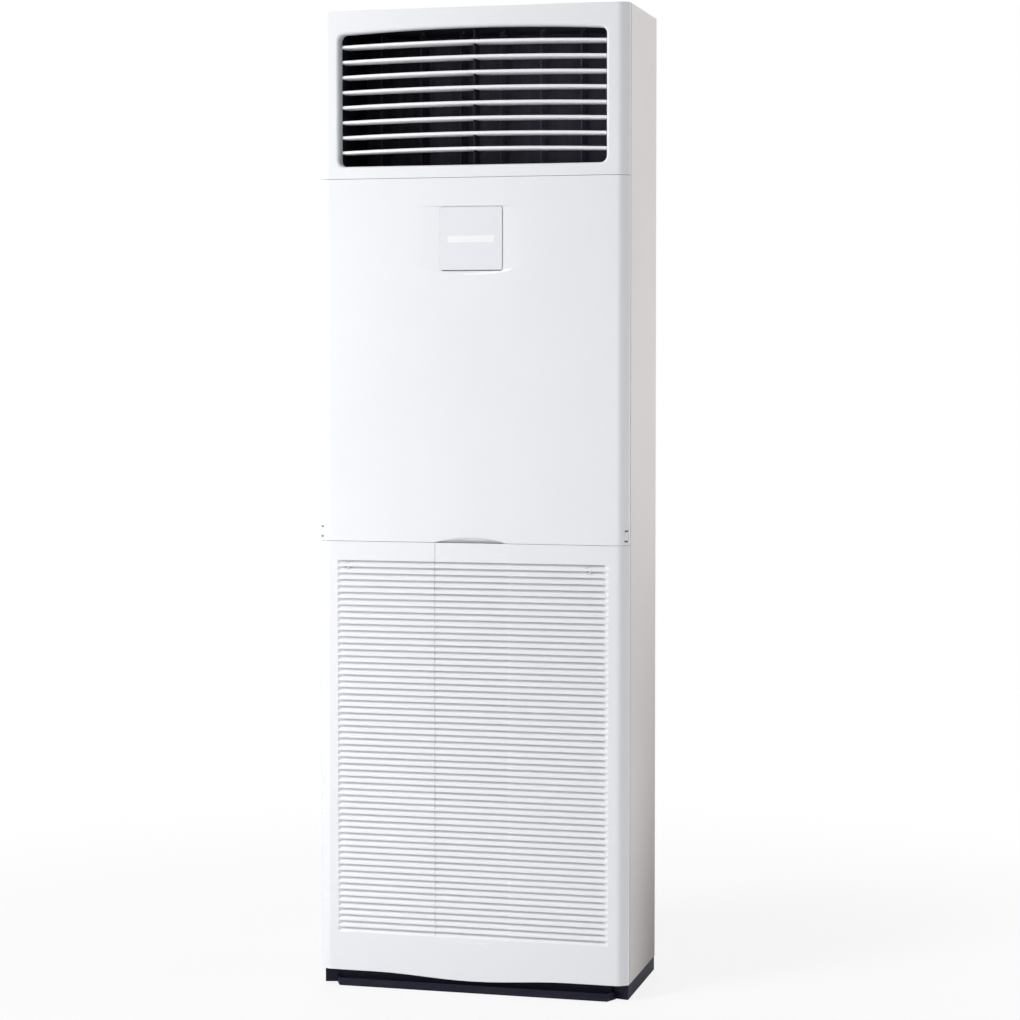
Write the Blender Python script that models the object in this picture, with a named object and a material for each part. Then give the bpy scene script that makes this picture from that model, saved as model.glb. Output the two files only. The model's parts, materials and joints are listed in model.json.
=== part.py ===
"""Floor standing air conditioner, tall cabinet type.

The cabinet stands on a black base. Its front has three mouldings: the outlet frame with swing louvres and
upright vanes, the upper front panel with the display cover, and the intake grille, which tilts forward on
two hinge pins at its bottom edge. Metres, +Z up, front towards -Y, origin on the floor below the middle.
"""
import math

import bmesh
import bpy
from mathutils import Matrix, Vector

# Overall size
WIDTH = 0.600
DEPTH = 0.270
HEIGHT = 1.850

# General clearances and walls
SEAT = 0.0003
SEAM = 0.0007
SHEET = 0.0012
WALL = 0.0030
PAST = 0.0030

# Black base
BASE_HEIGHT = 0.030
BASE_PLATE = 0.0030
BASE_SKIRT = 0.0030
SKIRT_FLOOR_GAP = 0.0015
PAN_SETBACK = 0.0015
RAIL_WIDTH = 0.0345
RAIL_FRONT_INNER = 0.0310
RAIL_FRONT_OUTER = 0.0230
RAIL_SIDE_INSET = 0.0030
RAIL_WALL = 0.0040
KICK_END_GAP = 0.0008
KICK_HEIGHT = 0.0145
KICK_THICK = 0.0030
KICK_SPLAY = 0.0120
KICK_INSET = 0.0005

# Heights of the two upper front mouldings, down from the top
OUTLET_FRAME_HEIGHT = 0.3155
UPPER_PANEL_HEIGHT = 0.6830

# Plan section that all three front mouldings share
CORNER_WIDTH = 0.0160
CORNER_DEPTH = 0.0115
CORNER_FRONT_REACH = 0.0060
CORNER_FRONT_STEPS = 4
CORNER_SIDE_REACH = 0.0016
CORNER_SIDE_STEPS = 2
MOULD_DEPTH = 0.0185
GROOVE = 0.0055
TONGUE_INSET = 0.0095

# Side, rear and top sheets
REAR_CHAMFER = 0.0100
REAR_FLANGE = 0.0200
TOP_FLANGE = 0.0150

# Outlet opening
OUTLET_SIDE_MARGIN = 0.0420
OUTLET_TOP_MARGIN = 0.0440
OUTLET_LOWER_RAIL = 0.0235
OUTLET_ARCH = 0.0075
OUTLET_CORNER = 0.0120
OUTLET_LIP = 0.0030
OUTLET_STEPS = 16
OUTLET_CORNER_STEPS = 4

# Air duct behind the outlet
DUCT_WALL = 0.0040
DUCT_SIDE_GAP = 0.0005
DUCT_DEPTH = 0.1800
DUCT_HEAD_ROOM = 0.0025

# Swing louvres
LOUVRE_COUNT = 8
LOUVRE_BOTTOM_GAP = 0.0270
LOUVRE_TOP_GAP = 0.02269
LOUVRE_END_GAP = 0.0030
LOUVRE_SETBACK = 0.0450
LOUVRE_REAR = 0.0120
LOUVRE_END_CHORD = 0.0330
LOUVRE_BOW = 0.0100
LOUVRE_ARCH = 0.0036
LOUVRE_THICK = 0.0060
LOUVRE_EDGE = 0.0040
LOUVRE_STEPS = 12

# Centre stay and the slot that each louvre has for it
STAY_THICK = 0.0024
STAY_FRONT = 0.0205
STAY_REAR = 0.0140
STAY_SIDE_PLAY = 0.0014
STAY_FRONT_PLAY = 0.0085

# Upright vanes
VANE_COUNT = 6
VANE_SIDE_GAP = 0.0635
VANE_SETBACK = 0.0920
VANE_FRONT = 0.0220
VANE_REAR = 0.0340
VANE_THICK = 0.0024
VANE_EDGE = 0.0012
VANE_END_GAP = 0.0055

# Pins that louvres, vanes and grille turn on
PIN_RADIUS = 0.0025
PIN_PLAY = 0.0003
PIN_SIDES = 8

# Display cover and its recess
COVER_WIDTH = 0.1200
COVER_HEIGHT = 0.1175
COVER_DROP = 0.0550
COVER_CORNER = 0.0040
COVER_CORNER_STEPS = 3
COVER_PROUD = 0.0004
RECESS_SIDE = 0.0500
RECESS_TOP_GAP = 0.0020
RECESS_BOTTOM_END = 0.0075
RECESS_SAG = 0.0175
RECESS_DEPTH = 0.0022
RECESS_STEPS = 12
RECESS_FLAT_EDGE = 0.0020
RECESS_RUN_OUT = 0.0001
RECESS_SLOPE = 0.0045
COVER_POCKET = 0.0012
COVER_GAP = 0.0009
COVER_LOWER_GAP = 0.0018
PANEL_WALL = 0.0045

# Finger notch above the intake grille
NOTCH_HALF = 0.0700
NOTCH_RISE = 0.0105
NOTCH_STEPS = 12
NOTCH_DEPTH = 0.0034
NOTCH_SILL = 0.0010

# Side clips
CLIP_HEIGHT = 0.0155
CLIP_SLOT = 0.0032
CLIP_FOOT = 0.0060
CLIP_START = 0.0100
CLIP_END = 0.0180
CLIP_THICK = 0.0014

# Intake grille
GRILLE_WALL = 0.0085
SLAT_PITCH = 0.0121
SLAT_TOP_DROP = 0.0365
SLAT_BOTTOM_RISE = 0.0740
SLAT_SIDE_MARGIN = 0.0370
SLAT_THICK = 0.0016
SLAT_END_SLANT = 1.7
SLAT_SLOPE = math.radians(56.0)
BAND_HALF = 0.0710
BAND_DEPTH = 0.0010
BAND_MEET = 0.0012
BAND_LEDGE = 0.0060
BAND_SAG = 0.0130
BAND_STEPS = 8
CHIN_SAG = 0.0080
CHIN_HALF = 0.1900
CHIN_STEPS = 12
CHIN_CLEAR = 0.0008

# Grille hinge
HINGE_SIDE_MARGIN = 0.0700
HINGE_Y_INSET = 0.0125
HINGE_RISE = 0.0060
HINGE_ARM = 0.0080
HINGE_HEAD = 0.0040
HINGE_PLAY = 0.0045
HINGE_SIDE_PLAY = 0.0015
HINGE_LUG = 0.0040
HINGE_LUG_RADIUS = 0.0055
HINGE_FOOT = 0.0180

# Air filters and their rails
FILTER_GAP = 0.0020
FILTER_THICK = 0.0060
FILTER_FRAME = 0.0140
FILTER_POCKET = 0.0020
FILTER_BARS = 3
FILTER_BAR = 0.0040
FILTER_RISE = 0.0300
FILTER_TOP_GAP = 0.0040
FILTER_RAIL_WEB = 0.0067
FILTER_RAIL_LIP = 0.0060

# Planes across the width and depth
HALF = WIDTH / 2
FRONT_Y = -DEPTH / 2
BACK_Y = DEPTH / 2
MOULD_BACK_Y = FRONT_Y + MOULD_DEPTH
FLANGE_Y = MOULD_BACK_Y + GROOVE
TONGUE_Y = FLANGE_Y - SEAT
TONGUE_HALF = HALF - TONGUE_INSET
PAN_FRONT_Y = FLANGE_Y + PAN_SETBACK
RAIL_OUT = HALF - RAIL_SIDE_INSET
RAIL_IN = RAIL_OUT - RAIL_WIDTH

# Heights
SEAM_OUTLET_Z = HEIGHT - OUTLET_FRAME_HEIGHT
SEAM_INTAKE_Z = SEAM_OUTLET_Z - UPPER_PANEL_HEIGHT
PLATE_TOP_Z = BASE_HEIGHT - SEAT
GRILLE_LOW_Z = BASE_HEIGHT + CHIN_CLEAR
GRILLE_HIGH_Z = SEAM_INTAKE_Z - SEAM / 2
PANEL_LOW_Z = SEAM_INTAKE_Z + SEAM / 2
PANEL_HIGH_Z = SEAM_OUTLET_Z - SEAM / 2
FRAME_LOW_Z = SEAM_OUTLET_Z + SEAM / 2
COVER_HIGH_Z = SEAM_OUTLET_Z - COVER_DROP
COVER_LOW_Z = COVER_HIGH_Z - COVER_HEIGHT

# Outlet, duct, louvres and vanes
OUTLET_HALF = HALF - OUTLET_SIDE_MARGIN
OUTLET_SIDE_TOP_Z = HEIGHT - OUTLET_TOP_MARGIN
OUTLET_BOTTOM_Z = SEAM_OUTLET_Z + OUTLET_LOWER_RAIL
OUTLET_HEIGHT = OUTLET_SIDE_TOP_Z - OUTLET_BOTTOM_Z
DUCT_HALF = OUTLET_HALF + DUCT_SIDE_GAP
DUCT_OUT = DUCT_HALF + DUCT_WALL
DUCT_FRONT_Y = FLANGE_Y
DUCT_BACK_Y = FRONT_Y + DUCT_DEPTH
DUCT_TOP_Z = OUTLET_SIDE_TOP_Z + OUTLET_ARCH + DUCT_HEAD_ROOM
LOUVRE_HALF = OUTLET_HALF - LOUVRE_END_GAP
LOUVRE_PIVOT_Y = FRONT_Y + LOUVRE_SETBACK
LOUVRE_FIRST_Z = OUTLET_BOTTOM_Z + LOUVRE_BOTTOM_GAP
LOUVRE_PITCH = (OUTLET_HEIGHT - LOUVRE_BOTTOM_GAP - LOUVRE_TOP_GAP) / (LOUVRE_COUNT - 1)
VANE_PIVOT_Y = FRONT_Y + VANE_SETBACK
VANE_PITCH = 2 * (DUCT_HALF - VANE_SIDE_GAP) / (VANE_COUNT - 1)
FLANGE_IN = DUCT_OUT + SEAT

# Grille, hinge and filters
SLAT_HALF = HALF - SLAT_SIDE_MARGIN
SLAT_TOP_Z = SEAM_INTAKE_Z - SLAT_TOP_DROP
SLAT_COUNT = int((SLAT_TOP_Z - BASE_HEIGHT - SLAT_BOTTOM_RISE) / SLAT_PITCH) + 1
SLAT_LAST_Z = SLAT_TOP_Z - (SLAT_COUNT - 1) * SLAT_PITCH
HINGE_X = HALF - HINGE_SIDE_MARGIN
HINGE_Y = FRONT_Y + HINGE_Y_INSET
HINGE_Z = BASE_HEIGHT + HINGE_RISE
FILTER_NEAR_Y = FLANGE_Y + FILTER_GAP
FILTER_FAR_Y = FILTER_NEAR_Y + FILTER_THICK
FILTER_RAIL_OUT = FLANGE_IN - SEAT
FILTER_HALF = FILTER_RAIL_OUT - FILTER_RAIL_WEB
FILTER_LOW_Z = BASE_HEIGHT + FILTER_RISE
FILTER_HIGH_Z = GRILLE_HIGH_Z - FILTER_TOP_GAP


def clear_scene():
    """Remove every object that the file opened with."""
    for item in list(bpy.data.objects):
        bpy.data.objects.remove(item)


def finish(name, colour, roughness, metallic=0.0):
    """A Principled material with one colour."""
    material = bpy.data.materials.new(name)
    material.use_nodes = True
    shader = material.node_tree.nodes["Principled BSDF"]
    shader.inputs["Base Color"].default_value = (*colour, 1.0)
    shader.inputs["Roughness"].default_value = roughness
    shader.inputs["Metallic"].default_value = metallic
    return material


def solid(name, mesh, material):
    """Turn a bmesh into a named object with outward faces."""
    bmesh.ops.recalc_face_normals(mesh, faces=mesh.faces)
    data = bpy.data.meshes.new(name)
    mesh.to_mesh(data)
    mesh.free()
    piece = bpy.data.objects.new(name, data)
    bpy.context.collection.objects.link(piece)
    if material:
        data.materials.append(material)
    return piece


def prism(name, outline, axis, low, high, material=None):
    """Extrude a flat outline along an axis. On X the outline is (y, z), on Y (x, z), on Z (x, y)."""
    place = {
        "X": lambda u, v: (low, u, v),
        "Y": lambda u, v: (u, low, v),
        "Z": lambda u, v: (u, v, low),
    }[axis]
    along = {"X": Vector((1, 0, 0)), "Y": Vector((0, 1, 0)), "Z": Vector((0, 0, 1))}[axis]
    mesh = bmesh.new()
    face = mesh.faces.new([mesh.verts.new(place(u, v)) for u, v in outline])
    grown = bmesh.ops.extrude_face_region(mesh, geom=[face])
    moved = [item for item in grown["geom"] if isinstance(item, bmesh.types.BMVert)]
    bmesh.ops.translate(mesh, verts=moved, vec=along * (high - low))
    return solid(name, mesh, material)


def block(name, x0, x1, y0, y1, z0, z1, material=None):
    """A plain box between two corners."""
    return prism(name, rectangle(x0, x1, y0, y1), "Z", z0, z1, material)


def rectangle(u0, u1, v0, v1):
    """The four corners of a rectangle."""
    return [(u0, v0), (u1, v0), (u1, v1), (u0, v1)]


def rod(name, centre, radius, axis, low, high, material=None):
    """A round pin with few sides, along X, Y or Z."""
    turn = 2 * math.pi / PIN_SIDES
    outline = [
        (centre[0] + radius * math.cos(turn * (k + 0.5)), centre[1] + radius * math.sin(turn * (k + 0.5)))
        for k in range(PIN_SIDES)
    ]
    return prism(name, outline, axis, low, high, material)


def pin_hole_radius():
    """Corner radius of a faceted hole whose flats clear a turning pin."""
    return (PIN_RADIUS + PIN_PLAY) / math.cos(math.pi / PIN_SIDES)


def combine(target, other, operation):
    """Apply one Boolean to the target and remove the other shape."""
    modifier = target.modifiers.new("combine", "BOOLEAN")
    modifier.object = other
    modifier.operation = operation
    modifier.solver = "EXACT"
    apply_modifiers(target)
    bpy.data.objects.remove(other)
    return target


def apply_modifiers(piece):
    """Replace a piece's mesh with its evaluated one."""
    graph = bpy.context.evaluated_depsgraph_get()
    graph.update()
    data = bpy.data.meshes.new_from_object(piece.evaluated_get(graph))
    old = piece.data
    piece.modifiers.clear()
    piece.data = data
    bpy.data.meshes.remove(old)
    data.name = piece.name


def cut(target, cutter):
    """Take a cutter away from a piece."""
    return combine(target, cutter, "DIFFERENCE")


def join(target, other):
    """Fuse another shape into a piece."""
    return combine(target, other, "UNION")


def set_origin(piece, point):
    """Move a piece's origin to a point and leave its shape where it is."""
    point = Vector(point)
    piece.data.transform(Matrix.Translation(-point))
    piece.location = point
    return piece


def offset_outline(points, distance):
    """Shift every edge of a convex anticlockwise outline inward by a distance."""
    count = len(points)
    lines = []
    for k in range(count):
        start = Vector(points[k])
        along = (Vector(points[(k + 1) % count]) - start).normalized()
        inward = Vector((-along.y, along.x))
        lines.append((start + inward * distance, along))
    corners = []
    for k in range(count):
        (a, da), (b, db) = lines[k - 1], lines[k]
        cross = da.x * db.y - da.y * db.x
        reach = ((b - a).x * db.y - (b - a).y * db.x) / cross
        corners.append(tuple(a + da * reach))
    return corners


def clip_behind(points, limit):
    """Keep the part of a convex outline whose second coordinate is at or past a limit."""
    kept = []
    for k, (u, v) in enumerate(points):
        before_u, before_v = points[k - 1]
        if (v >= limit) != (before_v >= limit):
            share = (limit - before_v) / (v - before_v)
            kept.append((before_u + share * (u - before_u), limit))
        if v >= limit:
            kept.append((u, v))
    return kept


def round_bend(before, bend, after, reach, steps):
    """Points of a smooth curve that replaces one bend of an outline, from reach before it to reach after it."""
    start = bend + (before - bend).normalized() * reach
    end = bend + (after - bend).normalized() * reach
    return [
        tuple(start * (1 - t) ** 2 + bend * 2 * t * (1 - t) + end * t ** 2)
        for t in (k / steps for k in range(steps + 1))
    ]


def sharp_section():
    """Plan outline of a front moulding before its bends are rounded: flat front, bevelled corners, short flanks."""
    right = [(HALF - CORNER_WIDTH, FRONT_Y), (HALF, FRONT_Y + CORNER_DEPTH), (HALF, MOULD_BACK_Y)]
    return right + [(-u, v) for u, v in reversed(right)]


def front_section():
    """Plan outline of a front moulding, with its four front bends rounded."""
    bevel, side, back = (Vector(point) for point in sharp_section()[:3])
    right = round_bend(Vector((0.0, FRONT_Y)), bevel, side, CORNER_FRONT_REACH, CORNER_FRONT_STEPS)
    right += round_bend(bevel, side, back, CORNER_SIDE_REACH, CORNER_SIDE_STEPS)
    right.append(tuple(back))
    return right + [(-u, v) for u, v in reversed(right)]


def front_moulding(name, low, high, front_wall, tongue_low, material):
    """A shallow tray, open at the back, with a tongue that seats on the side panels' flanges."""
    tray = prism(name, front_section(), "Z", low, high, material)
    tongue = block("tongue", -TONGUE_HALF, TONGUE_HALF, FRONT_Y + CORNER_DEPTH, TONGUE_Y, tongue_low, high)
    join(tray, tongue)
    inner = [
        (u, min(v, MOULD_BACK_Y - WALL))
        for u, v in clip_behind(offset_outline(sharp_section(), WALL), FRONT_Y + front_wall)
    ]
    cut(tray, prism("inside", inner, "Z", low + WALL, high - WALL))
    mouth = TONGUE_HALF - WALL
    cut(tray, block("mouth", -mouth, mouth, FRONT_Y + CORNER_DEPTH, TONGUE_Y + PAST, low + WALL, high - WALL))
    return tray


def rounded(half_width, low, high, radius, steps):
    """A rectangle in elevation with rounded corners, anticlockwise."""
    points = []
    for corner, (sign_u, base_v, sign_v) in enumerate(((1, low, -1), (1, high, 1), (-1, high, 1), (-1, low, -1))):
        for k in range(steps + 1):
            angle = math.pi / 2 * (corner - 1 + k / steps)
            points.append((
                sign_u * (half_width - radius) + radius * math.cos(angle),
                base_v - sign_v * radius + radius * math.sin(angle),
            ))
    return points


def outlet_outline(grow=0.0):
    """The outlet opening in elevation: straight bottom, bowed top, small round corners."""
    half = OUTLET_HALF + grow
    low = OUTLET_BOTTOM_Z - grow
    high = OUTLET_SIDE_TOP_Z + grow
    turn = math.pi / 2 / OUTLET_CORNER_STEPS
    crown = half - OUTLET_CORNER
    right = []
    for k in range(OUTLET_CORNER_STEPS + 1):
        angle = turn * k - math.pi / 2
        right.append((crown + OUTLET_CORNER * math.cos(angle), low + OUTLET_CORNER * (1 + math.sin(angle))))
    for k in range(OUTLET_CORNER_STEPS + 1):
        angle = turn * k
        right.append((crown + OUTLET_CORNER * math.cos(angle), high - OUTLET_CORNER * (1 - math.sin(angle))))
    top = []
    for k in range(1, OUTLET_STEPS):
        x = crown * (1 - 2 * k / OUTLET_STEPS)
        top.append((x, high + OUTLET_ARCH * (1 - (x / crown) ** 2)))
    left = [(-x, z) for x, z in reversed(right)]
    return right + top + left


def make_base(black):
    """Base pan, kick plate and the two foot rails."""
    plate_low = PLATE_TOP_Z - BASE_PLATE
    pan = block("base_pan", -RAIL_OUT, RAIL_OUT, PAN_FRONT_Y, BACK_Y, plate_low, PLATE_TOP_Z, black)
    for y, skirt_half in ((PAN_FRONT_Y, RAIL_IN + BASE_SKIRT), (BACK_Y - BASE_SKIRT, RAIL_IN - SEAT)):
        skirt = block(
            "skirt", -skirt_half, skirt_half, y, y + BASE_SKIRT, SKIRT_FLOOR_GAP, PLATE_TOP_Z - BASE_PLATE / 2,
        )
        join(pan, skirt)
    kick_y = FRONT_Y + KICK_INSET
    kick_half = RAIL_IN - KICK_END_GAP
    kick_rear = kick_half + KICK_SPLAY
    kick_outline = [
        (-kick_half, kick_y),
        (kick_half, kick_y),
        (kick_rear, PAN_FRONT_Y - SEAT),
        (-kick_rear, PAN_FRONT_Y - SEAT),
    ]
    kick = prism("kick_plate", kick_outline, "Z", 0, KICK_HEIGHT, black)
    cut(kick, prism("hollow", offset_outline(kick_outline, KICK_THICK), "Z", -PAST, KICK_HEIGHT + PAST))
    for side, name in ((-1, "left_foot_rail"), (1, "right_foot_rail")):
        outline = [
            (side * RAIL_IN, FRONT_Y + RAIL_FRONT_INNER),
            (side * RAIL_OUT, FRONT_Y + RAIL_FRONT_OUTER),
            (side * RAIL_OUT, BACK_Y),
            (side * RAIL_IN, BACK_Y),
        ]
        rail = prism(name, outline, "Z", 0, plate_low - SEAT, black)
        low, high = sorted((side * (RAIL_IN + RAIL_WALL), side * (RAIL_OUT - RAIL_WALL)))
        channel = block(
            "channel", low, high, FRONT_Y + RAIL_FRONT_INNER + RAIL_WALL, BACK_Y - RAIL_WALL,
            RAIL_WALL, plate_low + PAST,
        )
        cut(rail, channel)


def make_side_panel(name, side, material):
    """A folded side sheet with a front and a rear flange and a chamfered back corner."""
    rear_in = HALF - REAR_FLANGE
    fold = SHEET * math.tan(math.pi / 8)
    outline = [
        (FLANGE_IN, FLANGE_Y),
        (HALF, FLANGE_Y),
        (HALF, BACK_Y - REAR_CHAMFER),
        (HALF - REAR_CHAMFER, BACK_Y),
        (rear_in, BACK_Y),
        (rear_in, BACK_Y - SHEET),
        (HALF - REAR_CHAMFER - fold, BACK_Y - SHEET),
        (HALF - SHEET, BACK_Y - REAR_CHAMFER - fold),
        (HALF - SHEET, FLANGE_Y + SHEET),
        (FLANGE_IN, FLANGE_Y + SHEET),
    ]
    prism(name, [(side * x, y) for x, y in outline], "Z", BASE_HEIGHT, HEIGHT, material)


def make_sheets(side_paint):
    """Side, rear and top sheets of the cabinet."""
    make_side_panel("left_side_panel", -1, side_paint)
    make_side_panel("right_side_panel", 1, side_paint)
    rear_half = HALF - REAR_FLANGE - SEAT
    block("rear_panel", -rear_half, rear_half, BACK_Y - SHEET, BACK_Y, BASE_HEIGHT, HEIGHT, side_paint)
    lid_half = HALF - SHEET - SEAT
    lid_back = BACK_Y - SHEET - SEAT
    lid_outline = [
        (-lid_half, FLANGE_Y + SHEET + SEAT),
        (lid_half, FLANGE_Y + SHEET + SEAT),
        (lid_half, lid_back - REAR_CHAMFER),
        (lid_half - REAR_CHAMFER, lid_back),
        (-lid_half + REAR_CHAMFER, lid_back),
        (-lid_half, lid_back - REAR_CHAMFER),
    ]
    lid = prism("top_panel", lid_outline, "Z", HEIGHT - TOP_FLANGE, HEIGHT, side_paint)
    cut(lid, prism("hollow", offset_outline(lid_outline, SHEET), "Z", HEIGHT - TOP_FLANGE - PAST, HEIGHT - SHEET))


def make_outlet_frame(white):
    """The moulding round the air outlet, with a rim that reaches back to the duct."""
    frame = front_moulding("outlet_frame", FRAME_LOW_Z, HEIGHT, WALL, FRAME_LOW_Z, white)
    join(frame, prism("rim", outlet_outline(OUTLET_LIP), "Y", FRONT_Y + WALL / 2, TONGUE_Y))
    cut(frame, prism("opening", outlet_outline(), "Y", FRONT_Y - PAST, TONGUE_Y + PAST))


def louvre_height(k):
    """Height of one louvre's pivot, counted from the bottom."""
    return LOUVRE_FIRST_Z + k * LOUVRE_PITCH


def make_duct(dark):
    """Floor, ceiling, back and side walls of the duct, with holes for every pin."""
    hole = pin_hole_radius()
    floor = block(
        "duct_floor", -DUCT_OUT, DUCT_OUT, DUCT_FRONT_Y, DUCT_BACK_Y,
        OUTLET_BOTTOM_Z - DUCT_WALL, OUTLET_BOTTOM_Z, dark,
    )
    ceiling = block(
        "duct_ceiling", -DUCT_OUT, DUCT_OUT, DUCT_FRONT_Y, DUCT_BACK_Y, DUCT_TOP_Z, DUCT_TOP_Z + DUCT_WALL, dark,
    )
    for k in range(VANE_COUNT):
        centre = (vane_x(k), VANE_PIVOT_Y)
        for plate, z in ((floor, OUTLET_BOTTOM_Z - DUCT_WALL), (ceiling, DUCT_TOP_Z)):
            cut(plate, rod("hole", centre, hole, "Z", z - PAST, z + DUCT_WALL + PAST))
    block(
        "duct_back", -DUCT_OUT, DUCT_OUT, DUCT_BACK_Y + SEAT, DUCT_BACK_Y + SEAT + DUCT_WALL,
        OUTLET_BOTTOM_Z - DUCT_WALL, DUCT_TOP_Z + DUCT_WALL, dark,
    )
    for side, name in ((-1, "duct_left_wall"), (1, "duct_right_wall")):
        low, high = sorted((side * DUCT_HALF, side * DUCT_OUT))
        wall = block(
            name, low, high, DUCT_FRONT_Y, DUCT_BACK_Y, OUTLET_BOTTOM_Z + SEAT, DUCT_TOP_Z - SEAT, dark,
        )
        for k in range(LOUVRE_COUNT):
            centre = (LOUVRE_PIVOT_Y, louvre_height(k))
            cut(wall, rod("hole", centre, hole, "X", low - PAST, high + PAST))


def make_stay(dark):
    """The thin upright plate that holds the louvres in the middle."""
    block(
        "centre_stay", -STAY_THICK / 2, STAY_THICK / 2, LOUVRE_PIVOT_Y - STAY_FRONT, LOUVRE_PIVOT_Y + STAY_REAR,
        OUTLET_BOTTOM_Z + SEAT, DUCT_TOP_Z - SEAT, dark,
    )


def louvre_section(x):
    """Six (y, z) points of a louvre across its chord, for one place along it, about its pivot."""
    swell = 1 - (x / LOUVRE_HALF) ** 2
    reach = LOUVRE_END_CHORD + LOUVRE_BOW * swell
    rise = LOUVRE_ARCH * swell
    thick = LOUVRE_THICK / 2
    edge = LOUVRE_EDGE / 2
    return [
        (-reach, rise - edge),
        (-reach + thick, rise - thick),
        (LOUVRE_REAR, rise - edge),
        (LOUVRE_REAR, rise + edge),
        (-reach + thick, rise + thick),
        (-reach, rise + edge),
    ]


def loft(name, stations, material):
    """A closed solid through like sections, capped at both ends."""
    mesh = bmesh.new()
    rings = [[mesh.verts.new(point) for point in station] for station in stations]
    size = len(rings[0])
    for near, far in zip(rings, rings[1:]):
        for k in range(size):
            mesh.faces.new((near[k], near[(k + 1) % size], far[(k + 1) % size], far[k]))
    mesh.faces.new(rings[0])
    mesh.faces.new(rings[-1])
    return solid(name, mesh, material)


def make_louvres(white):
    """Swing louvres: bowed blades with a pin at each end and a slot for the stay."""
    slot_half = STAY_THICK / 2 + STAY_SIDE_PLAY
    for k in range(LOUVRE_COUNT):
        z = louvre_height(k)
        stations = []
        for step in range(LOUVRE_STEPS + 1):
            x = LOUVRE_HALF * (2 * step / LOUVRE_STEPS - 1)
            stations.append([(x, LOUVRE_PIVOT_Y + y, z + height) for y, height in louvre_section(x)])
        louvre = loft(f"louvre_{k + 1}", stations, white)
        for side in (-1, 1):
            low, high = sorted((side * (LOUVRE_HALF - PAST), side * DUCT_OUT))
            join(louvre, rod("pin", (LOUVRE_PIVOT_Y, z), PIN_RADIUS, "X", low, high))
        slot = block(
            "slot", -slot_half, slot_half,
            LOUVRE_PIVOT_Y - STAY_FRONT - STAY_FRONT_PLAY, LOUVRE_PIVOT_Y + LOUVRE_REAR + PAST,
            z - LOUVRE_THICK, z + LOUVRE_THICK + LOUVRE_ARCH,
        )
        cut(louvre, slot)
        set_origin(louvre, (0, LOUVRE_PIVOT_Y, z))


def vane_x(k):
    """Place of one vane across the duct, counted from the left."""
    return VANE_PITCH * (k - (VANE_COUNT - 1) / 2)


def make_vanes(dark):
    """Upright vanes with a thin nose and a pin at the top and bottom."""
    low = OUTLET_BOTTOM_Z + VANE_END_GAP
    high = DUCT_TOP_Z - VANE_END_GAP
    half = VANE_THICK / 2
    edge = VANE_EDGE / 2
    for k in range(VANE_COUNT):
        x = vane_x(k)
        outline = [
            (x - edge, VANE_PIVOT_Y - VANE_FRONT),
            (x + edge, VANE_PIVOT_Y - VANE_FRONT),
            (x + half, VANE_PIVOT_Y - VANE_FRONT + VANE_THICK),
            (x + half, VANE_PIVOT_Y),
            (x + edge, VANE_PIVOT_Y + VANE_REAR),
            (x - edge, VANE_PIVOT_Y + VANE_REAR),
            (x - half, VANE_PIVOT_Y),
            (x - half, VANE_PIVOT_Y - VANE_FRONT + VANE_THICK),
        ]
        vane = prism(f"vane_{k + 1}", outline, "Z", low, high, dark)
        join(vane, rod("pin", (x, VANE_PIVOT_Y), PIN_RADIUS, "Z", OUTLET_BOTTOM_Z - DUCT_WALL, low + PAST))
        join(vane, rod("pin", (x, VANE_PIVOT_Y), PIN_RADIUS, "Z", high - PAST, DUCT_TOP_Z + DUCT_WALL))
        set_origin(vane, (x, VANE_PIVOT_Y, 0))


def display_recess():
    """Cutter for the display recess: straight top, sagging sloped bottom, and a floor that rises to both sides."""
    half = COVER_WIDTH / 2 + RECESS_SIDE
    flat = COVER_WIDTH / 2 + RECESS_FLAT_EDGE
    top = COVER_HIGH_Z + RECESS_TOP_GAP
    low = COVER_LOW_Z + RECESS_BOTTOM_END
    places = {half * (2 * k / RECESS_STEPS - 1) for k in range(RECESS_STEPS + 1)} | {-flat, flat}
    stations = []
    for x in sorted(places):
        share = min(1.0, (half - abs(x)) / (half - flat))
        floor_y = FRONT_Y - RECESS_RUN_OUT + (RECESS_DEPTH + RECESS_RUN_OUT) * share
        bottom = low - RECESS_SAG * (1 - (x / half) ** 2)
        stations.append([
            (x, FRONT_Y - PAST, bottom),
            (x, FRONT_Y - RECESS_RUN_OUT, bottom),
            (x, floor_y, bottom + RECESS_SLOPE),
            (x, floor_y, top),
            (x, FRONT_Y - PAST, top),
        ])
    return loft("recess", stations, None)


def finger_notch():
    """Cutter for the finger notch: an arched scoop, deepest under its arch, that runs out of the lower edge."""
    stations = []
    for k in range(NOTCH_STEPS + 1):
        x = NOTCH_HALF * (2 * k / NOTCH_STEPS - 1)
        top = PANEL_LOW_Z + RECESS_RUN_OUT + NOTCH_RISE * (1 - (x / NOTCH_HALF) ** 2)
        stations.append([
            (x, FRONT_Y - PAST, PANEL_LOW_Z - PAST),
            (x, FRONT_Y + NOTCH_SILL, PANEL_LOW_Z - PAST),
            (x, FRONT_Y + NOTCH_SILL, PANEL_LOW_Z),
            (x, FRONT_Y + NOTCH_DEPTH, top),
            (x, FRONT_Y - PAST, top),
        ])
    return loft("notch", stations, None)


def bevel_strip(side, depth, margin, outside):
    """Plan outline of a strip on the corner bevel, between two shares of the bevel's length."""
    first = Vector((HALF - CORNER_WIDTH, FRONT_Y))
    last = Vector((HALF, FRONT_Y + CORNER_DEPTH))
    along = (last - first).normalized()
    inward = Vector((-along.y, along.x))
    start = first + along * (CLIP_START - margin)
    end = first + along * (CLIP_END + margin)
    corners = [start - inward * outside, end - inward * outside, end + inward * depth, start + inward * depth]
    return [(side * corner.x, corner.y) for corner in corners]


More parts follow.
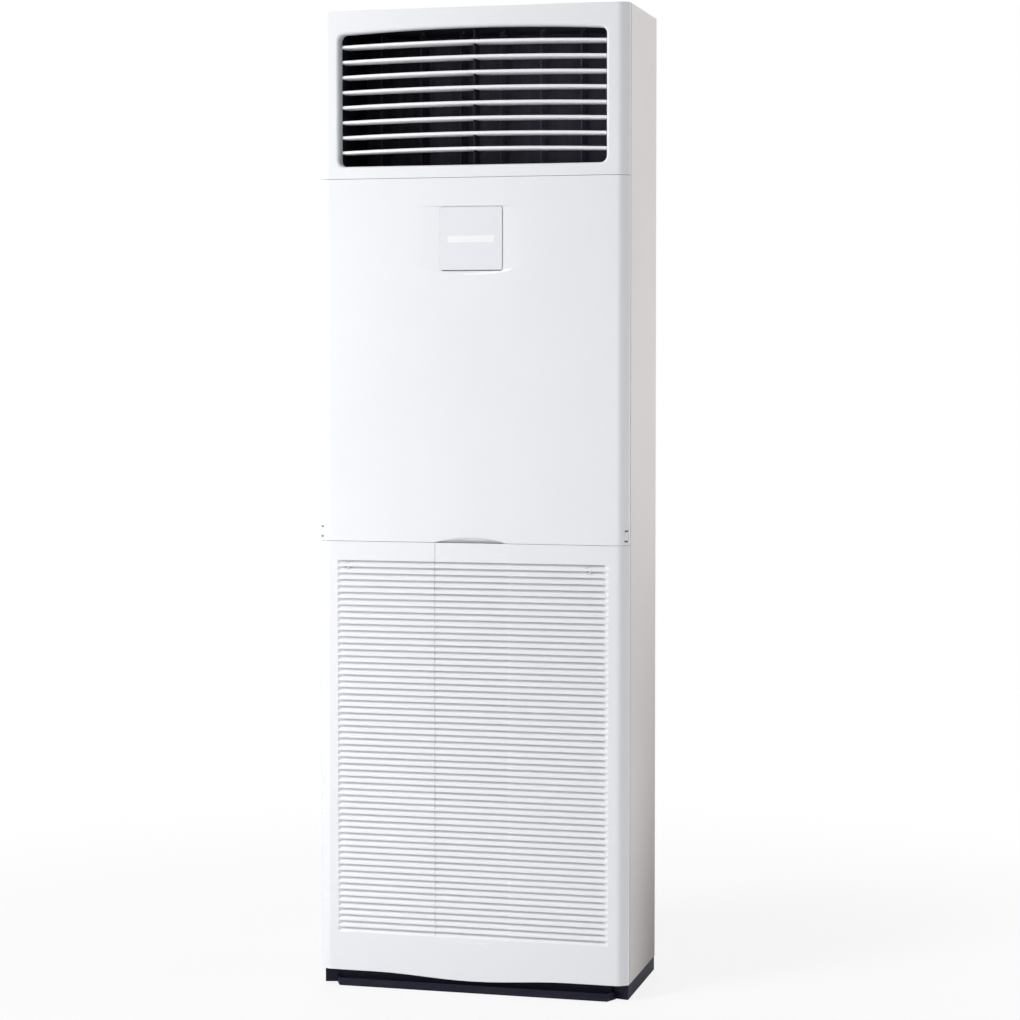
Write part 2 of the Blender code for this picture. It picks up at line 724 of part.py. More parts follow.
def make_upper_panel(white, trim):
    """The upper front panel, with the display recess, the finger notch and a pocket for each side clip."""
    panel = front_moulding("upper_front_panel", PANEL_LOW_Z, PANEL_HIGH_Z, PANEL_WALL, PANEL_LOW_Z, white)
    cut(panel, display_recess())
    pocket = rounded(
        COVER_WIDTH / 2 + COVER_GAP, COVER_LOW_Z - COVER_LOWER_GAP, COVER_HIGH_Z + COVER_GAP,
        COVER_CORNER, COVER_CORNER_STEPS,
    )
    cut(panel, prism("pocket", pocket, "Y", FRONT_Y - PAST, FRONT_Y + RECESS_DEPTH + COVER_POCKET))
    cut(panel, finger_notch())
    clip_low = PANEL_LOW_Z + CLIP_FOOT + CLIP_SLOT
    clip_high = clip_low + CLIP_HEIGHT
    for side, name in ((-1, "left_clip"), (1, "right_clip")):
        pocket = bevel_strip(side, CLIP_THICK + SEAT, SEAT, PAST)
        cut(panel, prism("pocket", pocket, "Z", clip_low - SEAT, clip_high + SEAT))
        slot = bevel_strip(side, WALL + PAST / 2, -SEAT, PAST)
        for low, high in ((clip_low - CLIP_SLOT, clip_low - SEAT / 2), (clip_high + SEAT / 2, clip_high + CLIP_SLOT)):
            cut(panel, prism("slot", slot, "Z", low, high))
        prism(name, bevel_strip(side, CLIP_THICK, 0.0, 0.0), "Z", clip_low, clip_high, trim)


def make_display(cover_finish):
    """The square display cover, set in the recess and almost flush with the front."""
    outline = rounded(COVER_WIDTH / 2, COVER_LOW_Z, COVER_HIGH_Z, COVER_CORNER, COVER_CORNER_STEPS)
    prism("display_cover", outline, "Y", FRONT_Y + COVER_PROUD, FRONT_Y + RECESS_DEPTH + COVER_POCKET - SEAT, cover_finish)


def slot_section(lip_z, front_y):
    """The sloped slot below one slat lip, as a (y, z) outline that runs out of both faces."""
    height = SLAT_PITCH - SLAT_THICK / math.cos(SLAT_SLOPE)
    rise = math.tan(SLAT_SLOPE)
    near = -PAST
    far = FRONT_Y + GRILLE_WALL - front_y + PAST
    return [
        (front_y + near, lip_z - height + near * rise),
        (front_y + far, lip_z - height + far * rise),
        (front_y + far, lip_z + far * rise),
        (front_y + near, lip_z + near * rise),
    ]


def band_outline(low, high):
    """The middle band of the grille in elevation, with a sagging ledge at the bottom."""
    points = []
    for k in range(BAND_STEPS + 1):
        x = BAND_HALF * (2 * k / BAND_STEPS - 1)
        points.append((x, low - BAND_SAG * (1 - (x / BAND_HALF) ** 2)))
    return points + [(BAND_HALF, high), (-BAND_HALF, high)]


def chin_outline():
    """What is cut away under the grille, so that its bottom edge sags in the middle."""
    points = [(HALF + PAST, 0), (HALF + PAST, GRILLE_LOW_Z)]
    for k in range(CHIN_STEPS + 1):
        x = CHIN_HALF * (1 - 2 * k / CHIN_STEPS)
        sag = CHIN_SAG * (1 + math.cos(math.pi * x / CHIN_HALF)) / 2
        points.append((x, GRILLE_LOW_Z - sag))
    return points + [(-HALF - PAST, GRILLE_LOW_Z), (-HALF - PAST, 0)]


def make_grille(white):
    """The intake grille: tray, middle band, sloped slats and hinge lugs."""
    grille = front_moulding(
        "intake_grille", GRILLE_LOW_Z - CHIN_SAG, GRILLE_HIGH_Z, GRILLE_WALL, HINGE_Z + SEAM, white,
    )
    cut(grille, prism("chin", chin_outline(), "Y", FRONT_Y - PAST, MOULD_BACK_Y + PAST))
    band = band_outline(SLAT_LAST_Z - BAND_LEDGE, GRILLE_HIGH_Z + PAST)
    cut(grille, prism("band", band, "Y", FRONT_Y - PAST, FRONT_Y + BAND_DEPTH))
    cut(grille, slat_slots((
        (-SLAT_HALF, -BAND_HALF, FRONT_Y, SLAT_END_SLANT, 0.0),
        (BAND_HALF, SLAT_HALF, FRONT_Y, 0.0, -SLAT_END_SLANT),
    )))
    meet = BAND_HALF + BAND_MEET
    cut(grille, slat_slots(((-meet, meet, FRONT_Y + BAND_DEPTH, 0.0, 0.0),)))
    add_hinge_lugs(grille)
    set_origin(grille, (0, HINGE_Y, HINGE_Z))


def slat_slots(spans):
    """One cutter with every slot of some spans. Each end of a slot moves by its slant as the slot gets deeper."""
    slots = bmesh.new()
    for low_x, high_x, front_y, low_slant, high_slant in spans:
        for k in range(SLAT_COUNT):
            section = slot_section(SLAT_TOP_Z - k * SLAT_PITCH, front_y)
            near = [slots.verts.new((low_x + low_slant * (y - front_y), y, z)) for y, z in section]
            far = [slots.verts.new((high_x + high_slant * (y - front_y), y, z)) for y, z in section]
            slots.faces.new(near)
            slots.faces.new(far)
            for j in range(4):
                slots.faces.new((near[j], near[(j + 1) % 4], far[(j + 1) % 4], far[j]))
    return solid("slots", slots, None)


def add_hinge_lugs(grille):
    """Clear the tray round each hinge arm and give it a bored lug beside the arm."""
    arm = HINGE_ARM / 2
    hole = pin_hole_radius()
    for side in (-1, 1):
        low, high = sorted((side * (HINGE_X - arm - HINGE_PLAY), side * (HINGE_X + arm + HINGE_SIDE_PLAY)))
        cut(grille, block(
            "gap", low, high, HINGE_Y - HINGE_LUG_RADIUS, MOULD_BACK_Y + PAST,
            GRILLE_LOW_Z - PAST, HINGE_Z + HINGE_LUG_RADIUS,
        ))
        low, high = sorted((
            side * (HINGE_X + arm + HINGE_SIDE_PLAY), side * (HINGE_X + arm + HINGE_SIDE_PLAY + HINGE_LUG),
        ))
        join(grille, block(
            "lug", low, high, FRONT_Y + GRILLE_WALL / 2, HINGE_Y + HINGE_LUG_RADIUS,
            GRILLE_LOW_Z + WALL / 2, HINGE_Z + HINGE_LUG_RADIUS,
        ))
        cut(grille, rod("hole", (HINGE_Y, HINGE_Z), hole, "X", low - PAST, high + PAST))


def make_hinge_brackets(steel):
    """A bracket on the base for each side, with an arm that ends in the hinge pin."""
    arm = HINGE_ARM / 2
    head = HINGE_HEAD
    rear = PAN_FRONT_Y + HINGE_FOOT
    outline = [
        (HINGE_Y - head, HINGE_Z - head / 2),
        (HINGE_Y - head / 2, HINGE_Z - head),
        (PAN_FRONT_Y, HINGE_Z - head),
        (PAN_FRONT_Y, BASE_HEIGHT),
        (rear, BASE_HEIGHT),
        (rear, HINGE_Z),
        (rear - head, HINGE_Z + head),
        (HINGE_Y - head / 2, HINGE_Z + head),
        (HINGE_Y - head, HINGE_Z + head / 2),
    ]
    for side, name in ((-1, "left_hinge_bracket"), (1, "right_hinge_bracket")):
        low, high = sorted((side * (HINGE_X - arm), side * (HINGE_X + arm)))
        bracket = prism(name, outline, "X", low, high, steel)
        low, high = sorted((side * HINGE_X, side * (HINGE_X + arm + HINGE_SIDE_PLAY + HINGE_LUG)))
        join(bracket, rod("pin", (HINGE_Y, HINGE_Z), PIN_RADIUS, "X", low, high))


def make_filters(rail_finish, mesh_finish):
    """Two stacked air filters in a channel rail at each side."""
    lip_in = FILTER_HALF - FILTER_RAIL_LIP
    middle = (FILTER_LOW_Z + FILTER_HIGH_Z) / 2
    for side, name in ((-1, "left_filter_rail"), (1, "right_filter_rail")):
        low, high = sorted((side * lip_in, side * FILTER_RAIL_OUT))
        rail = block(
            name, low, high, FLANGE_Y, FILTER_FAR_Y + FILTER_GAP, BASE_HEIGHT, FILTER_HIGH_Z, rail_finish,
        )
        low, high = sorted((side * (lip_in - PAST), side * (FILTER_HALF + SEAT)))
        cut(rail, block(
            "channel", low, high, FILTER_NEAR_Y - SEAT, FILTER_FAR_Y + SEAT,
            FILTER_LOW_Z - SEAT, FILTER_HIGH_Z + PAST,
        ))
    for name, low, high in (
        ("lower_air_filter", FILTER_LOW_Z, middle - SEAT / 2),
        ("upper_air_filter", middle + SEAT / 2, FILTER_HIGH_Z),
    ):
        panel = block(name, -FILTER_HALF, FILTER_HALF, FILTER_NEAR_Y, FILTER_FAR_Y, low, high, mesh_finish)
        bay = (2 * FILTER_HALF - 2 * FILTER_FRAME - FILTER_BARS * FILTER_BAR) / (FILTER_BARS + 1)
        for k in range(FILTER_BARS + 1):
            x = -FILTER_HALF + FILTER_FRAME + k * (bay + FILTER_BAR)
            pocket = block(
                "pocket", x, x + bay, FILTER_NEAR_Y - PAST, FILTER_NEAR_Y + FILTER_POCKET,
                low + FILTER_FRAME, high - FILTER_FRAME,
            )
            cut(panel, pocket)


def main():
    """Build the whole cabinet."""
    clear_scene()
    white = finish("white moulding", (0.86, 0.87, 0.88), 0.35)
    blade_white = finish("louvre white", (0.88, 0.88, 0.88), 0.40)
    cover_white = finish("display cover", (0.84, 0.85, 0.87), 0.20)
    trim = finish("clip", (0.74, 0.75, 0.76), 0.45)
    side_paint = finish("painted sheet", (0.72, 0.70, 0.69), 0.45)
    black = finish("black base", (0.02, 0.02, 0.025), 0.50)
    dark = finish("dark duct", (0.03, 0.03, 0.04), 0.60)
    steel = finish("hinge steel", (0.55, 0.55, 0.56), 0.35, 1.0)
    mesh_grey = finish("filter mesh", (0.45, 0.47, 0.50), 0.80)
    make_base(black)
    make_sheets(side_paint)
    make_outlet_frame(white)
    make_duct(dark)
    make_stay(dark)
    make_louvres(blade_white)
    make_vanes(dark)
    make_upper_panel(white, trim)
    make_display(cover_white)
    make_grille(white)
    make_hinge_brackets(steel)
    make_filters(dark, mesh_grey)


main()
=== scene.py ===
"""Floor standing air conditioner: finished surfaces, soft edges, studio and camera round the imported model."""
import json
import math

import bmesh
import bpy
from bpy.props import FloatProperty, FloatVectorProperty, IntProperty, PointerProperty
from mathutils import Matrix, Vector

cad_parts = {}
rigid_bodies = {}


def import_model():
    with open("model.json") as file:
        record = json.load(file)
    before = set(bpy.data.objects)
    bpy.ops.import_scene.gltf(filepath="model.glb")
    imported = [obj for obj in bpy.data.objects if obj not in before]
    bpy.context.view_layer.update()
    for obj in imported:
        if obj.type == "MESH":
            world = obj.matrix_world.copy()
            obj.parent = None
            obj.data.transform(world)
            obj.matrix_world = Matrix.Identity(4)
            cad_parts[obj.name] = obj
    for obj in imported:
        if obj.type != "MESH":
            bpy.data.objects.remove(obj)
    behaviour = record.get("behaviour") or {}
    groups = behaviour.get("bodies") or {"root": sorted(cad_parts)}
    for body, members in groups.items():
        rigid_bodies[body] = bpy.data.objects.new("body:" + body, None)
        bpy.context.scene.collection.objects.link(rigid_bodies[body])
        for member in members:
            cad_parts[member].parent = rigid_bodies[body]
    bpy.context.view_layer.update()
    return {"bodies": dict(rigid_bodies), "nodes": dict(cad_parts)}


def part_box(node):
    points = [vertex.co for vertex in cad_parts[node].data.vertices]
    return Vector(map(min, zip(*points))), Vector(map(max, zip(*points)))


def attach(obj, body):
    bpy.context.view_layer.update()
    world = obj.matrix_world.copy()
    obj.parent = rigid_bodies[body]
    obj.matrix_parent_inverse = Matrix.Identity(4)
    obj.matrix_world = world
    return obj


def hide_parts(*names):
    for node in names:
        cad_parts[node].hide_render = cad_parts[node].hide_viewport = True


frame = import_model()

bl_info = {
    "name": "Floor standing air conditioner",
    "version": (1, 0, 0),
    "blender": (4, 5, 0),
    "location": "3D View > Sidebar > Air Conditioner",
    "description": "Finishes a tall air conditioner cabinet with swing louvres and a slatted intake grille",
    "category": "Add Mesh",
}

FRAME_LOW, FRAME_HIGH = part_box("outlet_frame")
GRILLE_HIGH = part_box("intake_grille")[1]
COVER_LOW, COVER_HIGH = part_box("display_cover")
FRONT_Y = FRAME_LOW.y
LOUVRES = 8
VANES = 6
ORIGIN = (0.0, 0.0, 0.0)

# How near two places count as one, how far apart vertices are merged, and how flat faces are joined.
NEAR = 0.0002
MERGE = 0.00001
SLIVER = 0.00028
FLAT = math.radians(0.4)

# Edges sharper than the first angle are rounded, and shading runs smoothly over those below the second. The
# third is for the lip of the display's recess, which keeps its own shade.
SOFT_ANGLE = math.radians(28.0)
SMOOTH_ANGLE = math.radians(50.0)
LIP_ANGLE = math.radians(16.0)

# Radii on the edges of small and hidden pieces.
FINE_EDGE = 0.0005
THIN_EDGE = 0.0004
STAY_EDGE = 0.0006

# Part of the outlet frame's face that its bezel lies in: from the sides, from below and from above.
BEZEL_SIDE = 0.030
BEZEL_BELOW = 0.012
BEZEL_ABOVE = 0.015
BEZEL_FACES = 5

# Flat back of the grille's slats behind the front, and the finger notch of the upper panel.
GRILLE_BACK = 0.007
NOTCH_REACH = 0.0705
NOTCH_TOP = 0.870

# Bare strip on the display cover, and the dark strip in the gap under the cover that paints its shadow.
STRIP_PROUD = 0.0001
STRIP_DEPTH = 0.0003
STRIP_DROP = 0.001
STRIP_CORNER = 0.0012
STRIP_EDGE = 0.00006
PAINTED_SHADOW_SINK = 0.0010
PAINTED_SHADOW_SHORTER = 0.006
PAINTED_SHADOW_GAP = 0.0001
PAINTED_SHADOW_EDGE = 0.0001

# Grille screws: depths behind the front, rounding, and the cross in shares of the head's radius.
BOSS_NEAR, BOSS_FAR, BOSS_SIDES = 0.0003, 0.0080, 40
BOSS_PLAY = 0.0004
BOSS_SINK = 0.0026
HEAD_NEAR, HEAD_FAR, HEAD_SIDES = 0.0017, 0.0036, 32
HEAD_EDGE = 0.0002
CROSS_LENGTH, CROSS_WIDTH = 1.3, 0.24
CROSS_DEPTH = 0.0018

# Front faces of an air filter that lie deeper than this are the net in its bays.
BAY_DEPTH = 0.0015

# Reflection of the dark finishes, then the strength and the depth of the painted shade that darkens the painted
# sheets low at the rear.
DARK_SPECULAR = 0.2
SIDE_PAINTED_SHADE = 0.90
REAR_PAINTED_SHADE = 0.45
PAINTED_SHADE_TONE = 0.30

# Lamps: name, place, target, size, colour and the setting that holds the power.
WHITE = (1.0, 1.0, 1.0)
LAMPS = (
    ("key_lamp", (-1.4, -1.6, 1.10), (0.0, 0.0, 1.10), (0.9, 3.5), WHITE, "key_power"),
    ("side_lamp", (3.5, 1.2, 1.2), (0.3, 0.0, 1.2), (2.0, 2.0), (1.0, 0.950, 0.935), "side_power"),
    ("fill_lamp", (2.6, -1.6, 1.0), (0.0, 0.0, 1.0), (1.2, 2.4), (0.90, 0.95, 1.0), "fill_power"),
    ("rear_lamp", (-1.0, 3.0, 2.6), (0.0, 0.0, 1.0), (2.4, 2.4), WHITE, "rear_power"),
)
SUN_PLACE = (0.0, 0.0, 3.0)
SUN_AIM = (0.420, 0.520, -0.745)
SKY = (1.0, 0.985, 0.98, 1.0)

# Floor: its size, and the ring over which it turns to background.
FLOOR_SIZE = 24.0
FLOOR_CUTS = 8
SHADOW_NEAR, SHADOW_FAR = 0.55, 2.2
GLOW_NEAR = 0.84

# Camera: place, turn, sensor width and lens shift.
CAMERA_PLACE = (1.27269, -4.76665, 1.20603)
CAMERA_TURN = (math.pi / 2 - 0.04292, 0.0, 0.24777)
CAMERA_SENSOR = 36.0
CAMERA_SHIFT = (-0.01313, -0.045)


class CabinetSizes(bpy.types.PropertyGroup):
    """Radii and small sizes of the cabinet's finished edges."""

    moulding_edge: FloatProperty(
        name="Moulding edge", description="Radius on the small edges of the front mouldings",
        default=0.0006, min=0.0001, max=0.0012, unit="LENGTH",
    )
    bezel: FloatProperty(
        name="Outlet bezel", description="Radius round the front of the outlet opening",
        default=0.0058, min=0.001, max=0.007, unit="LENGTH",
    )
    panel_edge: FloatProperty(
        name="Panel edge", description="Radius on the edges of the upper panel and its recess",
        default=0.0002, min=0.0001, max=0.0005, unit="LENGTH",
    )
    slat_edge: FloatProperty(
        name="Slat edge", description="Radius on the lips of the intake slats",
        default=0.0004, min=0.0001, max=0.0005, unit="LENGTH",
    )
    louvre_edge: FloatProperty(
        name="Louvre edge", description="Radius on the long edges of the swing louvres",
        default=0.0012, min=0.0002, max=0.0014, unit="LENGTH",
    )
    louvre_segments: IntProperty(
        name="Louvre segments", description="Faces across each rounded edge of the louvres",
        default=3, min=1, max=6,
    )
    sheet_edge: FloatProperty(
        name="Sheet edge", description="Radius on the folded edges of the painted sheets",
        default=0.0005, min=0.0001, max=0.0006, unit="LENGTH",
    )
    base_edge: FloatProperty(
        name="Base edge", description="Radius on the edges of the black base",
        default=0.0007, min=0.0001, max=0.0015, unit="LENGTH",
    )
    strip_width: FloatProperty(
        name="Strip width", description="Width of the bare pale strip on the display cover",
        default=0.090, min=0.020, max=0.110, unit="LENGTH",
    )
    strip_height: FloatProperty(
        name="Strip height", description="Height of the bare pale strip on the display cover",
        default=0.0125, min=0.004, max=0.030, unit="LENGTH",
    )
    painted_shadow_height: FloatProperty(
        name="Painted shadow height", description="Height of the dark strip that paints the shadow in the gap under the display cover",
        default=0.0010, min=0.0004, max=0.0016, unit="LENGTH",
    )
    screw_radius: FloatProperty(
        name="Screw radius", description="Radius of the heads of the two grille screws",
        default=0.0040, min=0.002, max=0.004, unit="LENGTH",
    )
    boss_radius: FloatProperty(
        name="Boss radius", description="Radius of the round boss that each grille screw sits in",
        default=0.0070, min=0.0045, max=0.008, unit="LENGTH",
    )
    screw_drop: FloatProperty(
        name="Screw drop", description="Distance of the grille screws below the grille's top edge",
        default=0.0464, min=0.020, max=0.060, unit="LENGTH",
    )
    left_screw: FloatProperty(
        name="Left screw", description="Distance of the left grille screw from the middle",
        default=0.246, min=0.100, max=0.250, unit="LENGTH",
    )
    right_screw: FloatProperty(
        name="Right screw", description="Distance of the right grille screw from the middle",
        default=0.224, min=0.100, max=0.250, unit="LENGTH",
    )


class CabinetColours(bpy.types.PropertyGroup):
    """Base colours of the cabinet's finishes."""

    front: FloatVectorProperty(
        name="Front", description="Colour of the white front mouldings",
        default=(0.86, 0.88, 0.905), min=0.0, max=1.0, subtype="COLOR",
    )
    grille: FloatVectorProperty(
        name="Grille", description="Colour of the slatted intake grille",
        default=(0.847, 0.860, 0.892), min=0.0, max=1.0, subtype="COLOR",
    )
    cover: FloatVectorProperty(
        name="Display cover", description="Colour of the display cover",
        default=(0.83, 0.85, 0.89), min=0.0, max=1.0, subtype="COLOR",
    )
    strip: FloatVectorProperty(
        name="Strip", description="Colour of the bare strip on the display cover",
        default=(0.95, 0.955, 0.96), min=0.0, max=1.0, subtype="COLOR",
    )
    louvre: FloatVectorProperty(
        name="Louvre", description="Colour of the swing louvres",
        default=(0.95, 0.96, 0.985), min=0.0, max=1.0, subtype="COLOR",
    )
    side: FloatVectorProperty(
        name="Side sheet", description="Colour of the painted sheets",
        default=(0.722, 0.696, 0.694), min=0.0, max=1.0, subtype="COLOR",
    )
    base: FloatVectorProperty(
        name="Base", description="Colour of the black base",
        default=(0.0062, 0.0063, 0.0190), min=0.0, max=1.0, subtype="COLOR",
    )
    duct: FloatVectorProperty(
        name="Duct", description="Colour of the dark duct behind the louvres",
        default=(0.0140, 0.0128, 0.0182), min=0.0, max=1.0, subtype="COLOR",
    )
    vane: FloatVectorProperty(
        name="Vane", description="Colour of the upright vanes",
        default=(0.0180, 0.0168, 0.0232), min=0.0, max=1.0, subtype="COLOR",
    )
    clip: FloatVectorProperty(
        name="Clip", description="Colour of the side clips",
        default=(0.93, 0.93, 0.93), min=0.0, max=1.0, subtype="COLOR",
    )
    steel: FloatVectorProperty(
        name="Steel", description="Colour of the hinge brackets",
        default=(0.56, 0.56, 0.57), min=0.0, max=1.0, subtype="COLOR",
    )
    # Painted shade: the screws are kept dark to stand for the shade in their recesses.
    screw: FloatVectorProperty(
        name="Screws", description="Colour of the dark grille screws, painted shade of their recesses",
        default=(0.24, 0.24, 0.25), min=0.0, max=1.0, subtype="COLOR",
    )
    net: FloatVectorProperty(
        name="Filter net", description="Colour of the net in the air filters",
        default=(0.20, 0.23, 0.27), min=0.0, max=1.0, subtype="COLOR",
    )


class StudioSettings(bpy.types.PropertyGroup):
    """Strengths of the studio light."""

    sun_strength: FloatProperty(
        name="Sun", description="Strength of the even, soft edged light from the upper left",
        default=0.95, min=0.0, max=10.0,
    )
    sun_angle: FloatProperty(
        name="Sun angle", description="How soft the edges of the shadows of the even light are",
        default=math.radians(14.0), min=0.0, max=math.pi, subtype="ANGLE",
    )
    key_power: FloatProperty(
        name="Key", description="Power of the large soft lamp at the front left",
        default=37.2, min=0.0, max=1000.0, subtype="POWER",
    )
    fill_power: FloatProperty(
        name="Fill", description="Power of the soft lamp at the front right",
        default=5.0, min=0.0, max=1000.0, subtype="POWER",
    )
    side_power: FloatProperty(
        name="Side", description="Power of the soft lamp at the right side",
        default=44.0, min=0.0, max=1000.0, subtype="POWER",
    )
    rear_power: FloatProperty(
        name="Rear", description="Power of the soft lamp behind the cabinet",
        default=20.0, min=0.0, max=1000.0, subtype="POWER",
    )
    world_strength: FloatProperty(
        name="World", description="Strength of the even light from all round",
        default=0.22, min=0.0, max=2.0,
    )
    lens: FloatProperty(
        name="Lens", description="Focal length of the camera",
        default=90.716, min=20.0, max=300.0, subtype="DISTANCE_CAMERA",
    )


class Value:
    """A node socket that takes part in Python arithmetic."""

    def __init__(self, tree, socket):
        self.tree = tree
        self.socket = socket

    def work_out(self, operation, first, second):
        """Add a Math node for two values or numbers."""
        node = self.tree.nodes.new("ShaderNodeMath")
        node.operation = operation
        for socket, item in zip(node.inputs, (first, second)):
            connect(self.tree, socket, item)
        return Value(self.tree, node.outputs[0])

    def __add__(self, other):
        return self.work_out("ADD", self, other)

    def __radd__(self, other):
        return self.work_out("ADD", other, self)

    def __sub__(self, other):
        return self.work_out("SUBTRACT", self, other)

    def __rsub__(self, other):
        return self.work_out("SUBTRACT", other, self)

    def __mul__(self, other):
        return self.work_out("MULTIPLY", self, other)

    def __rmul__(self, other):
        return self.work_out("MULTIPLY", other, self)


def connect(tree, socket, item):
    """Link a Value to a socket, or write a plain number or colour on it."""
    if isinstance(item, Value):
        tree.links.new(item.socket, socket)
    else:
        socket.default_value = item


def opaque(colour):
    """A plain colour with its alpha, or a shader value as it is."""
    return colour if isinstance(colour, Value) else (*colour, 1.0)


class Recipe:
    """A node tree while a finish is put together."""

    def __init__(self, tree):
        self.tree = tree

    def node(self, kind, settings, sockets, output=0):
        """Add one node: its settings first, then its sockets, by name or number."""
        node = self.tree.nodes.new(kind)
        for name, setting in settings.items():
            setattr(node, name, setting)
        for key, item in sockets.items():
            connect(self.tree, node.inputs[key], item)
        return Value(self.tree, node.outputs[output])

    def coordinates(self):
        """Object coordinates, in metres."""
        return self.node("ShaderNodeTexCoord", {}, {}, "Object")

    def noise(self, where, scale, detail=2.0, roughness=0.5):
        """Noise from 0 to 1, with this many features to the metre."""
        return self.node(
            "ShaderNodeTexNoise", {},
            {"Vector": where, "Scale": scale, "Detail": detail, "Roughness": roughness},
        )

    def stretched(self, where, scale):
        """Coordinates scaled by a different number along each axis."""
        return self.node("ShaderNodeMapping", {}, {"Vector": where, "Scale": scale})

    def part(self, where, axis):
        """One coordinate of a vector."""
        return self.node("ShaderNodeSeparateXYZ", {}, {"Vector": where}, axis)

    def ramp(self, value, low, high, to_low=0.0, to_high=1.0):
        """A smooth step of a value from one range to another."""
        return self.node(
            "ShaderNodeMapRange", {"interpolation_type": "SMOOTHSTEP"},
            {0: value, 1: low, 2: high, 3: to_low, 4: to_high},
        )

    def tint(self, share, first, second):
        """A colour between two colours."""
        return self.node(
            "ShaderNodeMix", {"data_type": "RGBA"}, {0: share, 6: opaque(first), 7: opaque(second)}, 2,
        )

    def bump(self, height):
        """A surface normal with this relief, in metres."""
        return self.node("ShaderNodeBump", {}, {"Height": height, "Distance": 1.0, "Strength": 1.0})


def scaled(colour, share):
    """A colour made lighter or darker."""
    return tuple(min(1.0, channel * share) for channel in colour)


def new_finish(name):
    """A material with a fresh node tree, its recipe and its shader node."""
    material = bpy.data.materials.new(name)
    material.use_nodes = True
    return material, Recipe(material.node_tree), material.node_tree.nodes["Principled BSDF"]


def fill(recipe, shader, **sockets):
    """Write or link the shader's sockets. Underscores stand for the spaces in their names."""
    for name, item in sockets.items():
        connect(recipe.tree, shader.inputs[name.replace("_", " ")], item)


def moulded_finish(name, colour, gloss, grain):
    """Injection moulded plastic: fine spark texture, faint flow variation, slightly uneven gloss."""
    material, recipe, shader = new_finish(name)
    where = recipe.coordinates()
    flow = recipe.noise(where, 2.4, 3.0)
    spark = recipe.noise(where, 1500.0, 3.0, 0.65)
    wave = recipe.noise(where, 7.0, 1.0)
    haze = recipe.noise(where, 38.0, 4.0)
    fill(
        recipe, shader,
        Base_Color=recipe.tint(recipe.ramp(flow, 0.35, 0.65), scaled(colour, 0.982), colour),
        Roughness=gloss + (haze - 0.5) * 0.09,
        Normal=recipe.bump(spark * grain + wave * 0.00006),
    )
    return material


def painted_finish(name, colour, shading):
    """Baked enamel on sheet steel: orange peel, rolling marks, faint dust, and painted shade that darkens it
    low at the rear.
    """
    material, recipe, shader = new_finish(name)
    where = recipe.coordinates()
    peel = recipe.noise(where, 420.0, 2.0, 0.45)
    rolled = recipe.noise(recipe.stretched(where, (60.0, 60.0, 2.0)), 1.0, 2.0)
    cloud = recipe.noise(where, 3.0, 3.0)
    dust = recipe.ramp(recipe.part(where, "Z") + (cloud - 0.5) * 0.12, 0.03, 0.22, 0.35, 0.0)
    shade = recipe.ramp(cloud + (rolled - 0.5) * 0.25, 0.3, 0.7)
    # Painted shade: the colour darkens towards the bottom and the rear of the sheet.
    low = recipe.ramp(recipe.part(where, "Z"), 0.0, 1.1, 1.0, 0.0)
    rear = recipe.ramp(recipe.part(where, "Y"), -0.13, 0.14, 0.25, 1.0)
    enamel = recipe.tint(shade, scaled(colour, 0.965), scaled(colour, 1.01))
    fill(
        recipe, shader,
        Base_Color=recipe.tint(low * low * rear * shading, enamel, scaled(colour, PAINTED_SHADE_TONE)),
        Roughness=0.40 + dust * 0.25 + (rolled - 0.5) * 0.06,
        Normal=recipe.bump(peel * 0.00003),
        Coat_Weight=0.25 - dust * 0.25,
    )
    shader.inputs["Coat Roughness"].default_value = 0.30
    return material


def black_finish(name, colour):
    """Coarse black powder coat with grey scuffs and dust near the floor."""
    material, recipe, shader = new_finish(name)
    where = recipe.coordinates()
    pebble = recipe.noise(where, 700.0, 3.0, 0.6)
    scuff = recipe.noise(recipe.stretched(where, (9.0, 9.0, 90.0)), 1.0, 5.0, 0.7)
    dust = recipe.ramp(recipe.part(where, "Z"), 0.0, 0.014, 0.55, 0.12) * recipe.ramp(scuff, 0.45, 0.75)
    fill(
        recipe, shader,
        Base_Color=recipe.tint(dust, colour, (0.040, 0.038, 0.042)),
        Roughness=0.46 + dust * 0.3 + (pebble - 0.5) * 0.12,
        Normal=recipe.bump(pebble * 0.00010),
    )
    shader.inputs["Specular IOR Level"].default_value = DARK_SPECULAR
    return material


def duct_finish(name, colour, right_painted_light_colour):
    """Dark moulded duct: matt, with painted light that makes it lighter and bluer towards the right, and dust
    and flow streaks.
    """
    material, recipe, shader = new_finish(name)
    where = recipe.coordinates()
    # Painted light: the colour turns lighter towards the right, as if lit by the light from the left.
    across = recipe.ramp(recipe.part(where, "X"), -0.26, 0.26)
    streak = recipe.noise(recipe.stretched(where, (90.0, 8.0, 4.0)), 1.0, 3.0)
    fleck = recipe.noise(where, 1100.0, 2.0)
    fill(
        recipe, shader,
        Base_Color=recipe.tint(across * 0.8 + (streak - 0.5) * 0.4, colour, right_painted_light_colour),
        Roughness=0.52 + (streak - 0.5) * 0.15,
        Normal=recipe.bump(fleck * 0.00005),
    )
    shader.inputs["Specular IOR Level"].default_value = DARK_SPECULAR
    return material


def steel_finish(name, colour):
    """Zinc plated steel with drawn lines and cloudy plating."""
    material, recipe, shader = new_finish(name)
    where = recipe.coordinates()
    drawn = recipe.noise(recipe.stretched(where, (30.0, 900.0, 900.0)), 1.0, 2.0)
    cloud = recipe.noise(where, 90.0, 3.0)
    fill(
        recipe, shader,
        Base_Color=recipe.tint(recipe.ramp(cloud, 0.3, 0.7), scaled(colour, 0.8), colour),
        Roughness=0.32 + (drawn - 0.5) * 0.22,
        Metallic=1.0,
        Normal=recipe.bump(drawn * 0.00002),
    )
    return material


